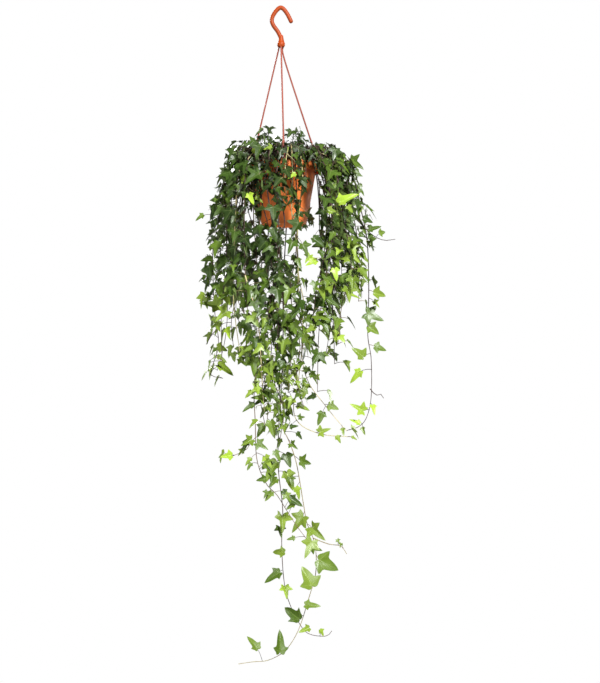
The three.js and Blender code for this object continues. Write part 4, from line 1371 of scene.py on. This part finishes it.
class Finish:
    """A material under construction."""

    def __init__(self, name, uniform):
        self.material = bpy.data.materials.new(name)
        self.material.use_nodes = True
        self.tree = self.material.node_tree
        self.shader = self.tree.nodes["Principled BSDF"]
        for socket, value in uniform.items():
            self.shader.inputs[socket].default_value = value

    def node(self, kind, settings=None, inputs=None, output=0):
        made = self.tree.nodes.new(kind)
        for name, value in (settings or {}).items():
            if name == "stops":
                self.set_stops(made.color_ramp, value)
            else:
                setattr(made, name, value)
        for socket, value in (inputs or {}).items():
            if isinstance(value, Wire):
                self.tree.links.new(value.socket, made.inputs[socket])
            else:
                made.inputs[socket].default_value = value
        return Wire(self, made.outputs[output])

    def set_stops(self, ramp, stops):
        while len(ramp.elements) < len(stops):
            ramp.elements.new(1.0)
        for element, (place, colour) in zip(ramp.elements, stops):
            element.position = place
            element.color = (*colour, 1)

    def maths(self, operation, *values):
        return self.node("ShaderNodeMath", {"operation": operation}, dict(enumerate(values)))

    def clamp(self, value):
        return self.node("ShaderNodeClamp", {}, {"Value": value})

    def smooth_step(self, value, low, high):
        return self.node("ShaderNodeMapRange", {"interpolation_type": "SMOOTHSTEP"},
                         {"Value": value, "From Min": low, "From Max": high})

    def ramp(self, value, stops):
        return self.node("ShaderNodeValToRGB", {"stops": stops}, {"Fac": value})

    def mix(self, factor, first, second):
        def colour(value):
            return value if isinstance(value, Wire) else (*value, 1)
        return self.node("ShaderNodeMix", {"data_type": "RGBA"},
                         {0: factor, 6: colour(first), 7: colour(second)}, output=2)

    def object_place(self):
        return self.node("ShaderNodeTexCoord", output="Object")

    def noise(self, place, scale, detail=3.0, roughness=0.55):
        return self.node("ShaderNodeTexNoise", {}, {
            "Vector": place, "Scale": scale, "Detail": detail, "Roughness": roughness})

    def cells(self, place, scale, feature="F1"):
        return self.node("ShaderNodeTexVoronoi", {"feature": feature},
                         {"Vector": place, "Scale": scale}, output="Distance")

    def attribute(self, name):
        return self.node("ShaderNodeAttribute", {"attribute_name": name}, output="Fac")

    def feed(self, socket, wire):
        self.tree.links.new(wire.socket, self.shader.inputs[socket])

    def feed_bump(self, height, strength, distance):
        self.feed("Normal", self.node("ShaderNodeBump", {}, {
            "Height": height, "Strength": strength, "Distance": distance}))


# Colours of leaves and stems from tone 0 to 1, and of the soil by its grit.
LEAF_COLOURS = [
    (0.0, (0.012, 0.026, 0.005)), (0.25, (0.034, 0.07, 0.008)), (0.5, (0.085, 0.145, 0.014)),
    (0.75, (0.18, 0.26, 0.03)), (1.0, (0.35, 0.52, 0.04)),
]
PALE_VEIN = (0.34, 0.44, 0.15)
UNDERSIDE = (0.24, 0.33, 0.11)
STEM_COLOURS = [
    (0.0, (0.02, 0.014, 0.011)), (0.35, (0.08, 0.05, 0.04)), (0.6, (0.22, 0.16, 0.085)),
    (0.8, (0.36, 0.33, 0.14)), (1.0, (0.56, 0.46, 0.26)),
]
SOIL_COLOURS = [
    (0.25, (0.012, 0.007, 0.005)), (0.5, (0.04, 0.024, 0.015)), (0.72, (0.1, 0.062, 0.038)),
]
DAMP_SOIL = (0.02, 0.013, 0.009)

# Veins of the right half, as (direction from the throat, reach, width).
SIDE_VEINS = [((0.6, 0.27), 0.64, 0.02), ((0.34, -0.22), 0.4, 0.016)]


def vein(leaf, across, along, toward, reach, width):
    """Mask of one vein that runs from the throat and thins towards its end."""
    dx, dy = toward
    size = math.hypot(dx, dy)
    dx, dy = dx / size, dy / size
    off = abs(across * dy - along * dx)
    forward = across * dx + along * dy
    left_over = leaf.clamp(1 - forward / reach)
    thickness = left_over * (0.7 * width) + 0.3 * width
    line = leaf.clamp(1 - off / thickness)
    return line * leaf.clamp(forward * 40) * leaf.clamp(left_over * 6)


def leaf_finish():
    leaf = Finish("ivy_leaf", {"Specular IOR Level": 0.36})
    place = leaf.object_place()
    flat = leaf.node("ShaderNodeUVMap", {"uv_map": "leaf"})
    split = leaf.node("ShaderNodeSeparateXYZ", {}, {0: flat})
    flat_y = Wire(leaf, split.socket.node.outputs["Y"])
    across = abs(split - 0.5) * LEAF_UV_SPAN
    along = (flat_y - LEAF_UV_THROAT) * LEAF_UV_SPAN
    veins = vein(leaf, across, along, (0, 1), 0.95, 0.026)
    for toward, reach, width in SIDE_VEINS:
        veins = leaf.maths("MAXIMUM", veins, vein(leaf, across, along, toward, reach, width))
    rung = leaf.maths("FRACT", (along - across * 0.9) * 7.0)
    rungs = leaf.clamp(1 - abs(rung - 0.5) * 9) * leaf.clamp(1 - across * 4)
    net = 1 - leaf.smooth_step(leaf.cells(flat, 34, "DISTANCE_TO_EDGE"), 0.0, 0.09)
    fine = leaf.maths("MAXIMUM", veins, leaf.maths("MAXIMUM", rungs * 0.3, net * 0.12))
    tone = leaf.attribute("tone")
    under = leaf.attribute("under")
    mottle = leaf.noise(place, 45)
    blade = leaf.ramp(leaf.clamp(tone + (mottle - 0.5) * 0.22), LEAF_COLOURS)
    top = leaf.mix(fine * 0.5, blade, leaf.mix(0.6, blade, PALE_VEIN))
    below = leaf.mix(0.38, blade, UNDERSIDE)
    leaf.feed("Base Color", leaf.mix(under, top, below))
    leaf.feed("Roughness", under * 0.22 + 0.36 + (mottle - 0.5) * 0.18)
    leaf.feed_bump(fine + mottle * 0.6, 0.35, 0.0006)
    return leaf.material


def stem_finish():
    stem = Finish("ivy_stem", {"Specular IOR Level": 0.25})
    place = stem.object_place()
    tone = stem.attribute("tone")
    streak = stem.noise(place, 160)
    stem.feed("Base Color", stem.ramp(stem.clamp(tone + (streak - 0.5) * 0.3), STEM_COLOURS))
    stem.feed("Roughness", streak * 0.25 + 0.45)
    stem.feed_bump(streak, 0.4, 0.0004)
    return stem.material


def plastic_finish(name, colour, dark, roughness, grain):
    plastic = Finish(name, {"Specular IOR Level": 0.25})
    place = plastic.object_place()
    cloud = plastic.noise(place, 18)
    speck = plastic.noise(place, 900, 2.0)
    scuff = plastic.noise(place, 120)
    shade = plastic.smooth_step(cloud, 0.3, 0.75)
    plastic.feed("Base Color", plastic.mix(shade * 0.5 + scuff * 0.2, colour, dark))
    plastic.feed("Roughness", scuff * 0.2 + roughness)
    plastic.feed_bump(speck + scuff * 0.6, grain, 0.0003)
    return plastic.material


def soil_finish():
    soil = Finish("potting_soil_crumb", {"Specular IOR Level": 0.2})
    place = soil.object_place()
    clod = soil.noise(place, 90)
    grit = soil.noise(place, 700, 4.0, 0.7)
    fibre = soil.cells(place, 260)
    soil.feed("Base Color", soil.mix(clod * 0.5, soil.ramp(grit, SOIL_COLOURS), DAMP_SOIL))
    soil.feed("Roughness", grit * 0.2 + 0.75)
    soil.feed_bump(grit + fibre * 0.6 + clod, 0.8, 0.0012)
    return soil.material


# Hanger

# The hook's head below its rod, as (radius, z).
HEAD_PROFILE = [
    (0, -52.6), (3.2, -53.1), (4.3, -54.4), (4.8, -57.5), (5.4, -61), (6.2, -65), (7, -68),
    (7.9, -69.2), (8.2, -70.2), (8.2, -74.3), (7.9, -75.3), (7.2, -75.8), (7.1, -77.1),
    (6.7, HEAD_BOTTOM), (0, HEAD_BOTTOM),
]
CATCH_Z = RIM_Z - FLANGE_THICKNESS - GAP
SHOULDER_SHARE = 0.42
CATCH_DEPTH = 7
HOOK_SAMPLES = 120
STRAND_SAMPLES = 48
FLARE_FROM = 0.93
FLARE_LENGTH = 0.07
FLARE = 0.25


def build_hook(finish):
    curve = SmoothCurve(HOOK_ROUTE)
    shares = np.linspace(0, 1, HOOK_SAMPLES)
    line = curve.at(shares)
    end = line[-1] + unit(line[-1] - line[-2]) * (ROD_RADIUS - 0.2)
    cap = np.linspace(0, 1, 8)[1:, None]
    rounded = ROD_RADIUS * np.sqrt(np.clip(1 - cap[:, 0] ** 2, 0.003, 1))
    line = np.vstack([line, line[-1] + cap * (end - line[-1])])
    radii = np.concatenate([np.full(len(shares), ROD_RADIUS), rounded])
    bm = lathe(HEAD_PROFILE, 48)
    shift(bm, (HEAD_X, 0, 0))
    add_tubes(bm, [(line, radii)], 10)
    mesh = mesh_from(bm, "hanger_hook")
    smooth_mesh(mesh)
    add_piece("hanger_hook", mesh, [finish], ["hook"])


def build_clip():
    """A flat clip, narrow at the top, that goes through the rim and catches under it."""
    inner, outer = SLOT_RADIUS - CLIP_THICKNESS / 2, SLOT_RADIUS + CLIP_THICKNESS / 2
    catch_radius = RIM_RADIUS - LIP_WALL - 2 * GAP
    outline = [
        (CLIP_TOP_RADIUS - CLIP_THICKNESS / 2, CLIP_TOP),
        (CLIP_TOP_RADIUS + CLIP_THICKNESS / 2, CLIP_TOP),
        (outer, RIM_Z + 10), (outer, CATCH_Z), (catch_radius, CATCH_Z), (catch_radius, CATCH_Z - 2),
        (outer - 0.4, CATCH_Z - CATCH_DEPTH), (inner, CATCH_Z - CATCH_DEPTH), (inner, RIM_Z + 10),
    ]
    bm = bmesh.new()
    side = bm.faces.new([bm.verts.new((radius, -CLIP_WIDTH / 2, z)) for radius, z in outline])
    grown = bmesh.ops.extrude_face_region(bm, geom=[side])["geom"]
    far = [part for part in grown if isinstance(part, bmesh.types.BMVert)]
    bmesh.ops.translate(bm, vec=(0, CLIP_WIDTH, 0), verts=far)
    shoulders = [vert for vert in bm.verts if vert.co.z > CLIP_TOP - 1]
    bmesh.ops.scale(bm, vec=(1, SHOULDER_SHARE, 1), verts=shoulders)
    bmesh.ops.recalc_face_normals(bm, faces=bm.faces)
    soften(bm, 0.4, 3)
    return bm


def build_strand(name, finish):
    """A thin moulded rod that widens into its clip."""
    shares = np.linspace(0, 1, STRAND_SAMPLES)
    radii = STRAND_RADIUS * (1 + FLARE * np.clip((shares - FLARE_FROM) / FLARE_LENGTH, 0, 1))
    bm = build_clip()
    turn(bm, STRAND_ANGLES[name])
    shift(bm, (POT_X, 0, 0))
    add_tubes(bm, [(SmoothCurve(strand_route(name)).at(shares), radii)], 5)
    piece_name = "hanger_" + name
    mesh = mesh_from(bm, piece_name)
    smooth_mesh(mesh)
    add_piece(piece_name, mesh, [finish], [name])


# Pot and soil

FLOOR_Z = BASE_Z + 3
FLOOR_THICKNESS = 2.5
DRAIN_RADIUS = 4
DRAIN_REACH = 28


def cut_away(mesh, cutters):
    """The mesh with each cutter, a bmesh, taken out of it."""
    blank = new_object("blank", mesh)
    tools = [new_object("cutter", mesh_from(cutter, "cutter")) for cutter in cutters]
    for tool in tools:
        cut = blank.modifiers.new("cut", "BOOLEAN")
        cut.operation = "DIFFERENCE"
        cut.solver = "EXACT"
        cut.object = tool
    graph = bpy.context.evaluated_depsgraph_get()
    result = bpy.data.meshes.new_from_object(blank.evaluated_get(graph))
    for leftover in (blank, *tools):
        bpy.data.objects.remove(leftover)
    return result


def clip_slot(degrees):
    slot = bmesh.new()
    bmesh.ops.create_cube(slot, size=1)
    size = (CLIP_THICKNESS + 2 * GAP, CLIP_WIDTH + 2 * GAP, 6)
    bmesh.ops.scale(slot, vec=size, verts=slot.verts)
    turn(slot, degrees)
    shift(slot, around_pot(SLOT_RADIUS, degrees, RIM_Z))
    return slot


def drain_hole(degrees):
    hole = bmesh.new()
    bmesh.ops.create_cone(hole, cap_ends=True, segments=28, radius1=DRAIN_RADIUS,
                          radius2=DRAIN_RADIUS, depth=12)
    shift(hole, around_pot(DRAIN_REACH, degrees, FLOOR_Z))
    return hole


def build_pot(finish):
    inner_floor_z = FLOOR_Z + FLOOR_THICKNESS
    skirt = RIM_RADIUS - LIP_WALL
    flange_under = RIM_Z - FLANGE_THICKNESS
    lip_bottom = RIM_Z - LIP_HEIGHT
    bm = lathe([
        (0, FLOOR_Z), (BASE_RADIUS - 8, FLOOR_Z), (BASE_RADIUS - 6.5, BASE_Z),
        (BASE_RADIUS - 1.5, BASE_Z), (wall_radius_at(BASE_Z + 1.5), BASE_Z + 1.5),
        (NECK_RADIUS, flange_under), (skirt, flange_under), (skirt, lip_bottom),
        (RIM_RADIUS - 0.5, lip_bottom), (RIM_RADIUS, lip_bottom + 0.5), (RIM_RADIUS, RIM_Z - 1.2),
        (RIM_RADIUS - 1, RIM_Z), (NECK_RADIUS - WALL, RIM_Z),
        (wall_radius_at(inner_floor_z) - WALL, inner_floor_z), (0, inner_floor_z),
    ], POT_SIDES)
    soften(bm, 0.45, 2)
    shift(bm, (POT_X, 0, 0))
    cutters = [clip_slot(degrees) for degrees in STRAND_ANGLES.values()]
    cutters += [drain_hole(360 * k / DRAIN_COUNT) for k in range(DRAIN_COUNT)]
    mesh = cut_away(mesh_from(bm, "pot_blank"), cutters)
    mesh.name = "flower_pot"
    smooth_mesh(mesh, 28)
    add_piece("flower_pot", mesh, [finish], ["pot"])


def soil_height(x, y):
    lumps = noise.noise(Vector((0.05 * x, 0.05 * y, 3.0))) * 2.2
    return SOIL_Z - 1.6 + lumps + noise.noise(Vector((0.19 * x, 0.19 * y, 8.0))) * 0.9


def add_crumbs(bm, reach, random):
    for k in range(CRUMB_COUNT):
        radius = reach * math.sqrt(random())
        angle = 2 * math.pi * random()
        size = 0.8 + 2.2 * random() ** 2
        x, y = radius * math.cos(angle), radius * math.sin(angle)
        crumb = bmesh.ops.create_icosphere(bm, subdivisions=1, radius=size)["verts"]
        bmesh.ops.scale(bm, vec=(1, 0.6 + 0.7 * random(), 0.5 + 0.4 * random()), verts=crumb)
        tumble = Matrix.Rotation(math.pi * random(), 3, (random(), random(), 1))
        bmesh.ops.rotate(bm, matrix=tumble, verts=crumb)
        bmesh.ops.translate(bm, vec=(x, y, soil_height(x, y) + 0.2 * size), verts=crumb)


def build_soil(finish):
    bottom_z = FLOOR_Z + FLOOR_THICKNESS + GAP
    clear = WALL + 1.5 * GAP
    top_radius = wall_radius_at(SOIL_Z - 3) - clear
    rings = [(top_radius * share, SOIL_Z) for share in np.linspace(1, 0, 22)]
    bm = lathe([(0, bottom_z), (wall_radius_at(bottom_z) - clear, bottom_z), *rings], 72)
    for vert in bm.verts:
        if vert.co.z > SOIL_Z - 1:
            vert.co.z = soil_height(vert.co.x, vert.co.y)
    add_crumbs(bm, top_radius - 3, random_stream(CRUMB_SEED))
    shift(bm, (POT_X, 0, 0))
    mesh = mesh_from(bm, "soil_bed")
    smooth_mesh(mesh, 50)
    add_piece("soil_bed", mesh, [finish], ["soil"])


# Stage, lights and camera

FLOOR_DISC_RADIUS = 1000
FLOOR_DISC_Z = -2400
ROOM_LIGHT = 0.07

# Soft lights, in metres and watts: (name, place, target, size, power).
LIGHTS = [
    ("key_light", (1.5, -3.0, 1.7), (0, 0, -0.6), 0.6, 320),
    ("fill_light", (-1.8, -2.9, -1.3), (-0.1, 0, -0.9), 1.2, 95),
    ("back_light", (-1.6, 3.0, 1.2), (0, 0, -0.6), 1.2, 170),
    ("side_light", (2.6, 2.2, -0.2), (0, 0, -0.7), 1.4, 80),
]


def build_stage():
    bm = bmesh.new()
    bmesh.ops.create_circle(bm, cap_ends=True, segments=96, radius=FLOOR_DISC_RADIUS)
    shift(bm, (0, 0, FLOOR_DISC_Z))
    mesh = mesh_from(bm, "floor")
    pale = Finish("pale_floor", {"Base Color": (0.85, 0.85, 0.84, 1), "Roughness": 0.7})
    mesh.materials.append(pale.material)
    new_object("floor", mesh)


def add_soft_light(name, place, target, size, power):
    light = bpy.data.lights.new(name, "AREA")
    light.shape = "SQUARE"
    light.size = size
    light.energy = power
    lamp = new_object(name, light)
    lamp.location = place
    toward = Vector(target) - Vector(place)
    lamp.rotation_euler = toward.to_track_quat("-Z", "Y").to_euler()


def build_room():
    """A white background that lights the object only a little."""
    world = bpy.data.worlds.new("studio")
    world.use_nodes = True
    tree = world.node_tree
    back = tree.nodes["Background"]
    back.inputs["Color"].default_value = (1, 1, 1, 1)
    sight = tree.nodes.new("ShaderNodeLightPath")
    level = tree.nodes.new("ShaderNodeMapRange")
    level.inputs["To Min"].default_value = ROOM_LIGHT
    level.inputs["To Max"].default_value = 1.0
    tree.links.new(sight.outputs["Is Camera Ray"], level.inputs["Value"])
    tree.links.new(level.outputs["Result"], back.inputs["Strength"])
    bpy.context.scene.world = world
    bpy.context.scene.view_settings.view_transform = "Standard"


def build_camera():
    camera = new_object("camera", bpy.data.cameras.new("camera"))
    camera.data.lens = CAMERA_LENS
    camera.location = Vector(CAMERA_PLACE) * MM
    camera.rotation_euler = (math.radians(90), 0, 0)
    bpy.context.scene.camera = camera


plants = grow_plants()
fill_plants(plants)
masters = {}
for kind, outline in LEAF_OUTLINES.items():
    masters[kind, True] = leaf_master(outline, 2)
    masters[kind, False] = leaf_master([outline[key] for key in PLAIN_KEYS], 1)
foliage = [leaf_finish(), stem_finish()]
for plant in plants:
    build_foliage(plant, masters, foliage)

build_hook(plastic_finish("hanger_orange", (0.34, 0.045, 0.001), (0.2, 0.03, 0.002), 0.4, 0.12))
strand_plastic = plastic_finish("strand_orange", (0.27, 0.06, 0.036), (0.2, 0.045, 0.03), 0.42, 0.1)
for strand in STRAND_ANGLES:
    build_strand(strand, strand_plastic)
build_pot(plastic_finish("pot_terracotta", (0.93, 0.24, 0.055), (0.82, 0.18, 0.045), 0.42, 0.2))
build_soil(soil_finish())
build_stage()
build_room()
for light in LIGHTS:
    add_soft_light(*light)
build_camera()
